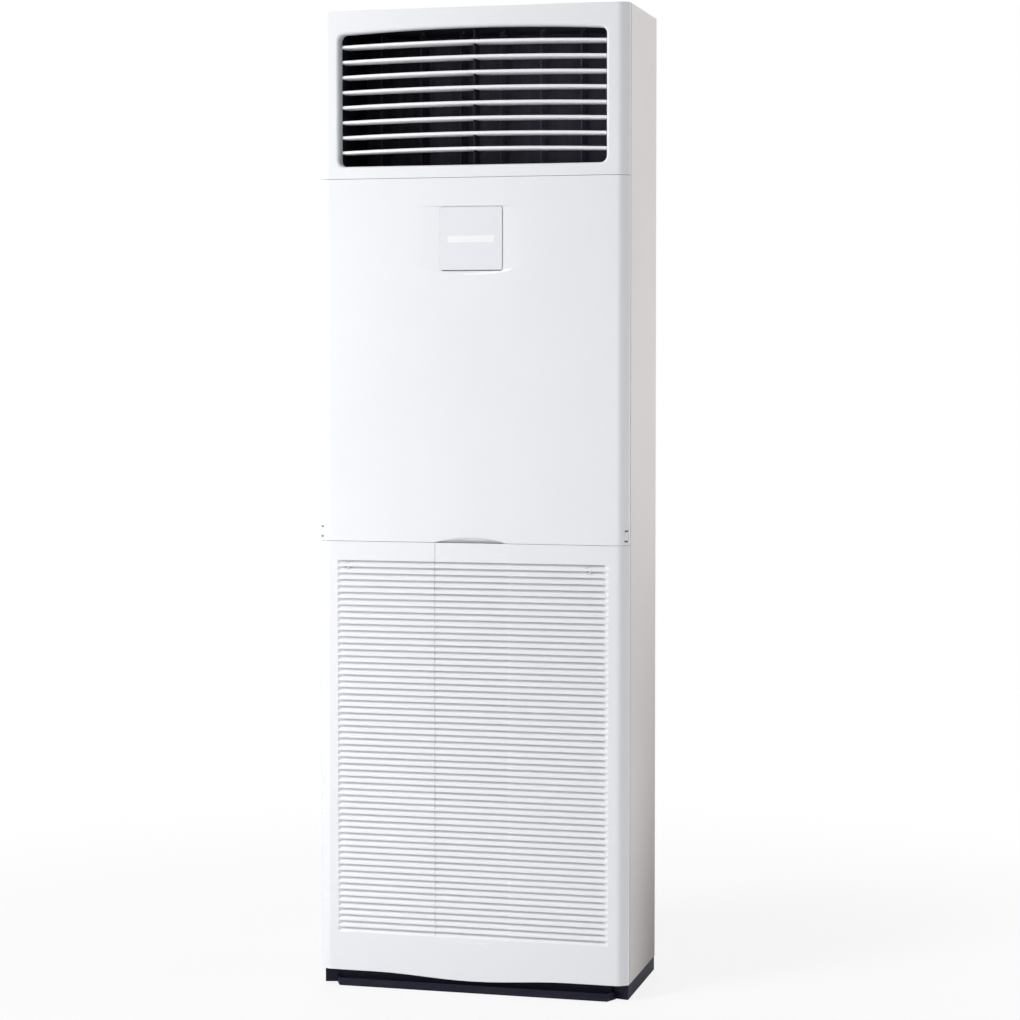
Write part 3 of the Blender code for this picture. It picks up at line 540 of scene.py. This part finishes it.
def net_finish(name, colour):
    """Woven filter net: threads both ways with dark holes between them."""
    material, recipe, shader = new_finish(name)
    where = recipe.coordinates()
    threads = [
        recipe.node(
            "ShaderNodeTexWave", {"wave_type": "BANDS", "bands_direction": axis},
            {"Vector": where, "Scale": 95.0}, 1,
        )
        for axis in ("X", "Z")
    ]
    mesh = recipe.ramp(threads[0], 0.45, 0.8) + recipe.ramp(threads[1], 0.45, 0.8)
    lint = recipe.noise(where, 60.0, 4.0)
    shown = recipe.ramp(mesh, 0.1, 0.9) * (0.75 + lint * 0.4)
    fill(
        recipe, shader,
        Base_Color=recipe.tint(shown, scaled(colour, 0.12), colour),
        Roughness=0.72 + (lint - 0.5) * 0.2,
        Normal=recipe.bump(mesh * 0.00025),
    )
    return material


def finish_for(name):
    """A finish by its name, made when it is first asked for."""
    known = bpy.data.materials.get(f"finish_{name}")
    if known:
        return known
    colours = bpy.context.scene.cabinet_colours
    duct = colours.duct
    maker, *values = {
        # Mouldings: colour, roughness and height of the grain in metres.
        "white_moulding": (moulded_finish, colours.front, 0.34, 0.000022),
        "grille_white": (moulded_finish, colours.grille, 0.42, 0.000022),
        "display_cover": (moulded_finish, colours.cover, 0.24, 0.000006),
        "cover_strip": (moulded_finish, colours.strip, 0.30, 0.000004),
        "louvre_white": (moulded_finish, colours.louvre, 0.38, 0.000018),
        "clip_grey": (moulded_finish, colours.clip, 0.45, 0.000020),
        # Painted sheets: colour and strength of the painted shade low at the rear.
        "side_paint": (painted_finish, colours.side, SIDE_PAINTED_SHADE),
        "rear_paint": (painted_finish, colours.side, REAR_PAINTED_SHADE),
        # Dark plastic: colour at the left and at the right, where the lighter colour is painted light.
        "duct_dark": (duct_finish, duct, scaled(duct, 11.0)),
        "stay_dark": (duct_finish, duct, scaled(duct, 2.2)),
        "rail_dark": (duct_finish, scaled(duct, 2.0), scaled(duct, 2.6)),
        "vane_dark": (duct_finish, colours.vane, scaled(colours.vane, 13.5)),
        # The rest: colour alone.
        "base_black": (black_finish, colours.base),
        "hinge_steel": (steel_finish, colours.steel),
        "screw_steel": (steel_finish, colours.screw),
        "filter_mesh": (net_finish, colours.net),
    }[name]
    return maker(f"finish_{name}", *values)


def body_name(node):
    """The body that carries a CAD node."""
    parent = frame["nodes"][node].parent
    for name, body in frame["bodies"].items():
        if body == parent:
            return name
    raise ValueError(f"{node} rides on no body")


def only(piece):
    """Leave one piece selected and active."""
    bpy.ops.object.select_all(action="DESELECT")
    piece.select_set(True)
    bpy.context.view_layer.objects.active = piece


def merged_copy(node, name, reach=MERGE):
    """A copy of a CAD node's mesh, merged over a small reach and with its flat faces whole again."""
    piece = bpy.data.objects.new(name, frame["nodes"][node].data.copy())
    piece.data.name = name
    piece.data.materials.clear()
    bpy.context.collection.objects.link(piece)
    only(piece)
    bpy.ops.object.mode_set(mode="EDIT")
    bpy.ops.mesh.select_mode(type="VERT")
    bpy.ops.mesh.select_all(action="SELECT")
    bpy.ops.mesh.remove_doubles(threshold=reach)
    bpy.ops.mesh.select_all(action="SELECT")
    bpy.ops.mesh.dissolve_limited(angle_limit=FLAT)
    bpy.ops.object.mode_set(mode="OBJECT")
    return piece


def round_edges(piece, test, reach, segments):
    """Round the edges whose two ends both pass a test."""
    only(piece)
    bpy.ops.object.mode_set(mode="EDIT")
    bpy.ops.mesh.select_mode(type="EDGE")
    bpy.ops.mesh.select_all(action="DESELECT")
    mesh = bmesh.from_edit_mesh(piece.data)
    count = 0
    for edge in mesh.edges:
        if len(edge.link_faces) == 2 and edge.calc_face_angle() > SOFT_ANGLE and test(edge):
            edge.select = True
            count += 1
    mesh.select_flush_mode()
    bmesh.update_edit_mesh(piece.data)
    if not count:
        raise ValueError(f"{piece.name} has no edge to round there")
    bpy.ops.mesh.bevel(offset=reach, segments=segments, profile=0.5, affect="EDGES", clamp_overlap=False)
    bpy.ops.object.mode_set(mode="OBJECT")


def soften(piece, reach, segments, clamped=True, test=None, crisp=None):
    """Round every sharp edge, or those that pass a test, and even out the shading but for crisp edges."""
    only(piece)
    if test:
        mesh = bmesh.new()
        mesh.from_mesh(piece.data)
        weight = mesh.edges.layers.float.new("bevel_weight_edge")
        for edge in mesh.edges:
            edge[weight] = float(edge.calc_face_angle() > SOFT_ANGLE and test(edge))
        mesh.to_mesh(piece.data)
        mesh.free()
    bpy.ops.object.modifier_add(type="BEVEL")
    bevel = piece.modifiers[-1]
    bevel.width = reach
    bevel.segments = segments
    bevel.limit_method = "WEIGHT" if test else "ANGLE"
    bevel.angle_limit = SOFT_ANGLE
    bevel.use_clamp_overlap = clamped
    bpy.ops.object.modifier_apply(modifier=bevel.name)
    bpy.ops.object.shade_smooth_by_angle(angle=SMOOTH_ANGLE)
    if crisp:
        mesh = bmesh.new()
        mesh.from_mesh(piece.data)
        for edge in mesh.edges:
            if crisp(edge) and edge.calc_face_angle(0.0) > LIP_ANGLE:
                edge.smooth = False
        mesh.to_mesh(piece.data)
        mesh.free()
    bpy.ops.object.modifier_add(type="WEIGHTED_NORMAL")
    weighted = piece.modifiers[-1]
    weighted.keep_sharp = True
    bpy.ops.object.modifier_apply(modifier=weighted.name)


def settle(piece, slot, body, *nodes, finish=None):
    """Give a piece its finish, its body and the nodes that it stands for."""
    piece.data.materials.append(finish_for(finish or slot))
    if nodes:
        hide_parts(*nodes)
    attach(piece, body)


def softened_node(node, slot, reach, segments, finish=None):
    """A piece with soft edges in place of one CAD node."""
    piece = merged_copy(node, f"{node}_finished")
    soften(piece, reach, segments)
    settle(piece, slot, body_name(node), node, finish=finish)


def before_back(edge):
    """Whether an edge of the grille lies before the flat back of its slats."""
    return min(vertex.co.y for vertex in edge.verts) < FRONT_Y + GRILLE_BACK


def off_the_notch(edge):
    """Whether an edge of the upper panel lies apart from its finger notch, which keeps its sharp arc."""
    return not all(
        abs(vertex.co.x) < NOTCH_REACH and vertex.co.z < NOTCH_TOP for vertex in edge.verts
    )


def by_the_display(edge):
    """Whether an edge of the upper panel lies in the flat front above the notch, where the display is."""
    return all(
        vertex.co.z > NOTCH_TOP and abs(vertex.co.x) < FRAME_HIGH.x - BEZEL_SIDE for vertex in edge.verts
    )


def at_front(vertex):
    """Whether a vertex lies on the flat front."""
    return abs(vertex.co.y - FRONT_Y) < NEAR


def upright_disc(name, centre, radius, near, far, sides):
    """A disc that faces the front, between two depths behind the flat front."""
    bpy.ops.object.select_all(action="DESELECT")
    bpy.ops.mesh.primitive_cylinder_add(vertices=sides, radius=radius, depth=far - near, location=ORIGIN)
    disc = bpy.context.object
    disc.name = name
    bpy.ops.object.mode_set(mode="EDIT")
    bpy.ops.mesh.select_all(action="SELECT")
    bpy.ops.transform.rotate(value=math.pi / 2, orient_axis="X", center_override=ORIGIN)
    bpy.ops.transform.translate(value=(centre[0], FRONT_Y + (near + far) / 2, centre[1]))
    bpy.ops.object.mode_set(mode="OBJECT")
    disc.data.materials.clear()
    return disc


def box_piece(name, size, centre):
    """A box of this size round a centre."""
    bpy.ops.object.select_all(action="DESELECT")
    bpy.ops.mesh.primitive_cube_add(size=1.0, location=ORIGIN)
    box = bpy.context.object
    box.name = name
    bpy.ops.object.mode_set(mode="EDIT")
    bpy.ops.mesh.select_all(action="SELECT")
    bpy.ops.transform.resize(value=size)
    bpy.ops.transform.translate(value=centre)
    bpy.ops.object.mode_set(mode="OBJECT")
    return box


class OBJECT_OT_finish_base(bpy.types.Operator):
    """Finish the black base: pan, kick plate and foot rails"""

    bl_idname = "air_conditioner.finish_base"
    bl_label = "Base"

    def execute(self, context):
        sizes = context.scene.cabinet_sizes
        for node in ("base_pan", "kick_plate", "left_foot_rail", "right_foot_rail"):
            softened_node(node, "base_black", sizes.base_edge, 2)
        return {"FINISHED"}


class OBJECT_OT_finish_sheets(bpy.types.Operator):
    """Finish the painted side, rear and top sheets"""

    bl_idname = "air_conditioner.finish_sheets"
    bl_label = "Painted sheets"

    def execute(self, context):
        sizes = context.scene.cabinet_sizes
        for node in ("left_side_panel", "right_side_panel", "top_panel"):
            softened_node(node, "side_paint", sizes.sheet_edge, 2)
        softened_node("rear_panel", "side_paint", sizes.sheet_edge, 2, finish="rear_paint")
        return {"FINISHED"}


class OBJECT_OT_finish_outlet_frame(bpy.types.Operator):
    """Finish the moulding round the air outlet, with its rounded bezel"""

    bl_idname = "air_conditioner.finish_outlet_frame"
    bl_label = "Outlet frame"

    def execute(self, context):
        sizes = context.scene.cabinet_sizes
        frame_piece = merged_copy("outlet_frame", "outlet_frame_finished")
        side = FRAME_HIGH.x - BEZEL_SIDE
        low, high = FRAME_LOW.z + BEZEL_BELOW, FRAME_HIGH.z - BEZEL_ABOVE
        round_edges(
            frame_piece,
            lambda edge: all(
                at_front(vertex) and abs(vertex.co.x) < side and low < vertex.co.z < high
                for vertex in edge.verts
            ),
            sizes.bezel, BEZEL_FACES,
        )
        soften(frame_piece, sizes.moulding_edge, 2)
        settle(frame_piece, "white_moulding", body_name("outlet_frame"), "outlet_frame")
        return {"FINISHED"}


class OBJECT_OT_finish_duct(bpy.types.Operator):
    """Finish the dark duct and the centre stay"""

    bl_idname = "air_conditioner.finish_duct"
    bl_label = "Duct and stay"

    def execute(self, context):
        for node in ("duct_floor", "duct_ceiling", "duct_back", "duct_left_wall", "duct_right_wall"):
            softened_node(node, "duct_dark", FINE_EDGE, 2)
        softened_node("centre_stay", "duct_dark", STAY_EDGE, 2, finish="stay_dark")
        return {"FINISHED"}


class OBJECT_OT_finish_louvres(bpy.types.Operator):
    """Finish the bank of swing louvres"""

    bl_idname = "air_conditioner.finish_louvres"
    bl_label = "Swing louvres"

    def execute(self, context):
        sizes = context.scene.cabinet_sizes
        for k in range(1, LOUVRES + 1):
            softened_node(f"louvre_{k}", "louvre_white", sizes.louvre_edge, sizes.louvre_segments)
        return {"FINISHED"}


class OBJECT_OT_finish_vanes(bpy.types.Operator):
    """Finish the upright vanes behind the louvres"""

    bl_idname = "air_conditioner.finish_vanes"
    bl_label = "Upright vanes"

    def execute(self, context):
        for k in range(1, VANES + 1):
            softened_node(f"vane_{k}", "vane_dark", THIN_EDGE, 2)
        return {"FINISHED"}


class OBJECT_OT_finish_upper_panel(bpy.types.Operator):
    """Finish the upper front panel, with its display recess and finger notch"""

    bl_idname = "air_conditioner.finish_upper_panel"
    bl_label = "Upper front panel"

    def execute(self, context):
        sizes = context.scene.cabinet_sizes
        panel = merged_copy("upper_front_panel", "upper_front_panel_finished", SLIVER)
        soften(panel, sizes.panel_edge, 2, clamped=False, test=off_the_notch, crisp=by_the_display)
        settle(panel, "white_moulding", body_name("upper_front_panel"), "upper_front_panel")
        return {"FINISHED"}


class OBJECT_OT_finish_display(bpy.types.Operator):
    """Finish the display cover and add its bare pale strip, and a dark strip under it as painted shadow"""

    bl_idname = "air_conditioner.finish_display"
    bl_label = "Display cover"

    def execute(self, context):
        sizes = context.scene.cabinet_sizes
        softened_node("display_cover", "display_cover", FINE_EDGE, 3)
        self.lay_strip(context, sizes.strip_width, sizes.strip_height)
        self.lay_painted_shadow(sizes.painted_shadow_height)
        return {"FINISHED"}

    def lay_strip(self, context, width, height):
        """The bare pale strip across the cover."""
        middle = (COVER_LOW + COVER_HIGH) / 2
        bpy.ops.object.select_all(action="DESELECT")
        bpy.ops.mesh.primitive_plane_add(size=1.0, location=ORIGIN)
        strip = context.object
        strip.name = "cover_strip"
        bpy.ops.object.mode_set(mode="EDIT")
        bpy.ops.mesh.select_all(action="SELECT")
        bpy.ops.transform.resize(value=(width, height, 1.0))
        bpy.ops.transform.rotate(value=-math.pi / 2, orient_axis="X", center_override=ORIGIN)
        bpy.ops.transform.translate(value=(middle.x, COVER_LOW.y - STRIP_PROUD, middle.z - STRIP_DROP))
        bpy.ops.mesh.extrude_region_move(TRANSFORM_OT_translate={"value": (0.0, STRIP_DEPTH, 0.0)})
        bpy.ops.mesh.select_all(action="SELECT")
        bpy.ops.mesh.normals_make_consistent(inside=False)
        bpy.ops.object.mode_set(mode="OBJECT")
        round_edges(
            strip, lambda edge: abs(edge.verts[0].co.y - edge.verts[1].co.y) > NEAR, STRIP_CORNER, 3,
        )
        soften(strip, STRIP_EDGE, 1)
        strip.data.materials.clear()
        settle(strip, "display_cover", body_name("display_cover"), finish="cover_strip")

    def lay_painted_shadow(self, height):
        """A dark strip in the gap under the cover: painted shadow that shows as a line."""
        # Painted shadow: a black strip where the gap under the cover lies in shade.
        near, far = COVER_LOW.y + PAINTED_SHADOW_SINK, COVER_HIGH.y
        seal = box_piece(
            "cover_seal",
            (COVER_HIGH.x - COVER_LOW.x - PAINTED_SHADOW_SHORTER, far - near, height),
            ((COVER_LOW.x + COVER_HIGH.x) / 2, (near + far) / 2, COVER_LOW.z - PAINTED_SHADOW_GAP - height / 2),
        )
        soften(seal, PAINTED_SHADOW_EDGE, 1)
        seal.data.materials.clear()
        settle(seal, "base_black", body_name("display_cover"))


class OBJECT_OT_finish_clips(bpy.types.Operator):
    """Finish the small clip in each corner of the upper panel"""

    bl_idname = "air_conditioner.finish_clips"
    bl_label = "Side clips"

    def execute(self, context):
        for node in ("left_clip", "right_clip"):
            softened_node(node, "clip_grey", THIN_EDGE, 2)
        return {"FINISHED"}


class OBJECT_OT_finish_grille(bpy.types.Operator):
    """Finish the intake grille: rounded corners and soft slat lips"""

    bl_idname = "air_conditioner.finish_grille"
    bl_label = "Intake grille"

    def execute(self, context):
        sizes = context.scene.cabinet_sizes
        grille = merged_copy("intake_grille", "intake_grille_finished")
        soften(grille, sizes.slat_edge, 2, clamped=False, test=before_back)
        settle(grille, "grille_white", body_name("intake_grille"), "intake_grille")
        return {"FINISHED"}


class OBJECT_OT_finish_screws(bpy.types.Operator):
    """Model the two cross head screws of the grille, each in its round boss"""

    bl_idname = "air_conditioner.finish_screws"
    bl_label = "Grille screws"

    def execute(self, context):
        sizes = context.scene.cabinet_sizes
        body = body_name("intake_grille")
        height = GRILLE_HIGH.z - sizes.screw_drop
        for x, word in ((-sizes.left_screw, "left"), (sizes.right_screw, "right")):
            centre = (x, height)
            boss = upright_disc(
                f"{word}_screw_boss", centre, sizes.boss_radius, BOSS_NEAR, BOSS_FAR, BOSS_SIDES,
            )
            self.sink(boss, sizes.boss_radius - sizes.screw_radius - BOSS_PLAY, BOSS_SINK)
            soften(boss, THIN_EDGE, 2)
            settle(boss, "grille_white", body)
            screw = upright_disc(
                f"{word}_grille_screw", centre, sizes.screw_radius, HEAD_NEAR, HEAD_FAR, HEAD_SIDES,
            )
            self.cut_cross(screw, centre, sizes.screw_radius)
            soften(screw, HEAD_EDGE, 2)
            # The screw's dark colour is painted shade of its recess.
            settle(screw, "hinge_steel", body, finish="screw_steel")
        return {"FINISHED"}

    def sink(self, boss, rim, depth):
        """Sink the middle of a boss's front face and leave a rim."""
        only(boss)
        front = min(vertex.co.y for vertex in boss.data.vertices)
        bpy.ops.object.mode_set(mode="EDIT")
        bpy.ops.mesh.select_mode(type="FACE")
        bpy.ops.mesh.select_all(action="DESELECT")
        mesh = bmesh.from_edit_mesh(boss.data)
        for face in mesh.faces:
            face.select = all(abs(vertex.co.y - front) < NEAR for vertex in face.verts)
        bmesh.update_edit_mesh(boss.data)
        bpy.ops.mesh.inset(thickness=rim)
        bpy.ops.transform.translate(value=(0.0, depth, 0.0))
        bpy.ops.object.mode_set(mode="OBJECT")

    def cut_cross(self, screw, centre, radius):
        """Cut a cross recess into a screw's head."""
        front = min(vertex.co.y for vertex in screw.data.vertices)
        for name, width, height in (
            ("bar_across", CROSS_LENGTH, CROSS_WIDTH), ("bar_upright", CROSS_WIDTH, CROSS_LENGTH),
        ):
            bar = box_piece(
                name, (width * radius, CROSS_DEPTH, height * radius), (centre[0], front, centre[1]),
            )
            only(screw)
            bpy.ops.object.modifier_add(type="BOOLEAN")
            cut = screw.modifiers[-1]
            cut.operation = "DIFFERENCE"
            cut.object = bar
            bpy.ops.object.modifier_apply(modifier=cut.name)
            only(bar)
            bpy.ops.object.delete()


class OBJECT_OT_finish_hinges(bpy.types.Operator):
    """Finish the steel brackets that the grille tilts on"""

    bl_idname = "air_conditioner.finish_hinges"
    bl_label = "Grille hinges"

    def execute(self, context):
        for node in ("left_hinge_bracket", "right_hinge_bracket"):
            softened_node(node, "hinge_steel", FINE_EDGE, 2)
        return {"FINISHED"}


class OBJECT_OT_finish_filters(bpy.types.Operator):
    """Finish the two air filters and their rails"""

    bl_idname = "air_conditioner.finish_filters"
    bl_label = "Air filters"

    def execute(self, context):
        for node in ("left_filter_rail", "right_filter_rail"):
            softened_node(node, "duct_dark", FINE_EDGE, 2, finish="rail_dark")
        for node in ("lower_air_filter", "upper_air_filter"):
            panel = merged_copy(node, f"{node}_finished")
            settle(panel, "duct_dark", body_name(node), node, finish="rail_dark")
            panel.data.materials.append(finish_for("filter_mesh"))
            bay_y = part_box(node)[0].y + BAY_DEPTH
            for face in panel.data.polygons:
                if face.normal.y < -0.99 and face.center.y > bay_y:
                    face.material_index = 1
        return {"FINISHED"}


class OBJECT_OT_set_stage(bpy.types.Operator):
    """Set the floor, the soft lamps, the background and the camera"""

    bl_idname = "air_conditioner.set_stage"
    bl_label = "Studio"

    def execute(self, context):
        studio = context.scene.studio_settings
        self.lay_floor()
        self.hang_sun(studio.sun_strength, studio.sun_angle)
        for name, place, target, size, colour, power in LAMPS:
            self.hang_lamp(name, place, target, size, colour, getattr(studio, power))
        self.light_world(context, studio.world_strength)
        self.place_camera(context, studio.lens)
        context.scene.view_settings.view_transform = "Standard"
        return {"FINISHED"}

    def lay_floor(self):
        """A pale floor that keeps the shadow near the cabinet and turns to background further out."""
        bpy.ops.object.select_all(action="DESELECT")
        bpy.ops.mesh.primitive_grid_add(
            x_subdivisions=FLOOR_CUTS, y_subdivisions=FLOOR_CUTS, size=FLOOR_SIZE, location=ORIGIN,
        )
        floor = bpy.context.object
        floor.name = "studio_floor"
        material, recipe, shader = new_finish("studio_floor")
        where = recipe.coordinates()
        fleck = recipe.noise(where, 30.0, 2.0)
        pale = recipe.tint(fleck, (0.84, 0.84, 0.85), (0.86, 0.86, 0.86))
        fill(recipe, shader, Base_Color=pale, Roughness=0.6)
        distance = recipe.node("ShaderNodeVectorMath", {"operation": "LENGTH"}, {0: where}, "Value")
        camera_ray = recipe.node("ShaderNodeLightPath", {}, {}, "Is Camera Ray")
        share = camera_ray * recipe.ramp(distance, SHADOW_NEAR, SHADOW_FAR, GLOW_NEAR, 1.0)
        glow = recipe.node("ShaderNodeEmission", {}, {"Color": opaque(WHITE), "Strength": 1.0})
        plain = Value(recipe.tree, shader.outputs[0])
        mixed = recipe.node("ShaderNodeMixShader", {}, {0: share, 1: plain, 2: glow})
        connect(recipe.tree, recipe.tree.nodes["Material Output"].inputs["Surface"], mixed)
        floor.data.materials.append(material)

    def hang_sun(self, strength, angle):
        """An even light from the upper left, for the shadows under the slats and the display."""
        bpy.ops.object.select_all(action="DESELECT")
        bpy.ops.object.light_add(type="SUN", location=SUN_PLACE)
        sun = bpy.context.object
        sun.name = "studio_sun"
        sun.rotation_euler = Vector(SUN_AIM).to_track_quat("-Z", "Y").to_euler()
        sun.data.energy = strength
        sun.data.angle = angle

    def hang_lamp(self, name, place, target, size, colour, power):
        """A rectangular soft lamp aimed at a point."""
        bpy.ops.object.select_all(action="DESELECT")
        bpy.ops.object.light_add(type="AREA", location=place)
        lamp = bpy.context.object
        lamp.name = name
        lamp.rotation_euler = (Vector(target) - Vector(place)).to_track_quat("-Z", "Y").to_euler()
        lamp.data.shape = "RECTANGLE"
        lamp.data.size, lamp.data.size_y = size
        lamp.data.energy = power
        lamp.data.color = colour

    def light_world(self, context, strength):
        """Even light from all round, with a white background for the camera and for reflections."""
        world = bpy.data.worlds.new("studio_world")
        context.scene.world = world
        world.use_nodes = True
        world.node_tree.nodes.clear()
        recipe = Recipe(world.node_tree)
        camera_ray = recipe.node("ShaderNodeLightPath", {}, {}, "Is Camera Ray")
        glossy_ray = recipe.node("ShaderNodeLightPath", {}, {}, "Is Glossy Ray")
        seen = camera_ray + glossy_ray
        light = recipe.node("ShaderNodeBackground", {}, {"Color": SKY, "Strength": strength})
        white = recipe.node("ShaderNodeBackground", {}, {"Color": opaque(WHITE), "Strength": 1.0})
        mixed = recipe.node("ShaderNodeMixShader", {}, {0: seen, 1: light, 2: white})
        output = world.node_tree.nodes.new("ShaderNodeOutputWorld")
        connect(world.node_tree, output.inputs["Surface"], mixed)

    def place_camera(self, context, lens):
        """The camera at the photograph's place and angle."""
        bpy.ops.object.select_all(action="DESELECT")
        bpy.ops.object.camera_add(location=CAMERA_PLACE, rotation=CAMERA_TURN)
        camera = context.object
        camera.name = "studio_camera"
        camera.data.lens = lens
        camera.data.sensor_width = CAMERA_SENSOR
        camera.data.shift_x, camera.data.shift_y = CAMERA_SHIFT
        context.scene.camera = camera


class VIEW3D_PT_air_conditioner(bpy.types.Panel):
    """Lists the steps in the sidebar"""

    bl_label = "Air Conditioner"
    bl_idname = "VIEW3D_PT_air_conditioner"
    bl_space_type = "VIEW_3D"
    bl_region_type = "UI"
    bl_category = "Air Conditioner"

    def draw(self, context):
        layout = self.layout
        for group in ("cabinet_sizes", "cabinet_colours", "studio_settings"):
            holder = getattr(context.scene, group)
            for name in holder.__annotations__:
                layout.prop(holder, name)
        for step in STEPS:
            layout.operator(step.bl_idname)


GROUPS = {
    "cabinet_sizes": CabinetSizes,
    "cabinet_colours": CabinetColours,
    "studio_settings": StudioSettings,
}
STEPS = (
    OBJECT_OT_finish_base,
    OBJECT_OT_finish_sheets,
    OBJECT_OT_finish_outlet_frame,
    OBJECT_OT_finish_duct,
    OBJECT_OT_finish_louvres,
    OBJECT_OT_finish_vanes,
    OBJECT_OT_finish_upper_panel,
    OBJECT_OT_finish_display,
    OBJECT_OT_finish_clips,
    OBJECT_OT_finish_grille,
    OBJECT_OT_finish_screws,
    OBJECT_OT_finish_hinges,
    OBJECT_OT_finish_filters,
    OBJECT_OT_set_stage,
)


def register():
    """Register the settings, the steps and the panel."""
    for name, group in GROUPS.items():
        bpy.utils.register_class(group)
        setattr(bpy.types.Scene, name, PointerProperty(type=group))
    for step in STEPS:
        bpy.utils.register_class(step)
    bpy.utils.register_class(VIEW3D_PT_air_conditioner)


def unregister():
    """Remove what register added."""
    bpy.utils.unregister_class(VIEW3D_PT_air_conditioner)
    for step in reversed(STEPS):
        bpy.utils.unregister_class(step)
    for name, group in GROUPS.items():
        delattr(bpy.types.Scene, name)
        bpy.utils.unregister_class(group)


def main():
    """Run every step in order."""
    register()
    bpy.ops.air_conditioner.finish_base()
    bpy.ops.air_conditioner.finish_sheets()
    bpy.ops.air_conditioner.finish_outlet_frame()
    bpy.ops.air_conditioner.finish_duct()
    bpy.ops.air_conditioner.finish_louvres()
    bpy.ops.air_conditioner.finish_vanes()
    bpy.ops.air_conditioner.finish_upper_panel()
    bpy.ops.air_conditioner.finish_display()
    bpy.ops.air_conditioner.finish_clips()
    bpy.ops.air_conditioner.finish_grille()
    bpy.ops.air_conditioner.finish_screws()
    bpy.ops.air_conditioner.finish_hinges()
    bpy.ops.air_conditioner.finish_filters()
    bpy.ops.air_conditioner.set_stage()


if __name__ == "__main__":
    main()
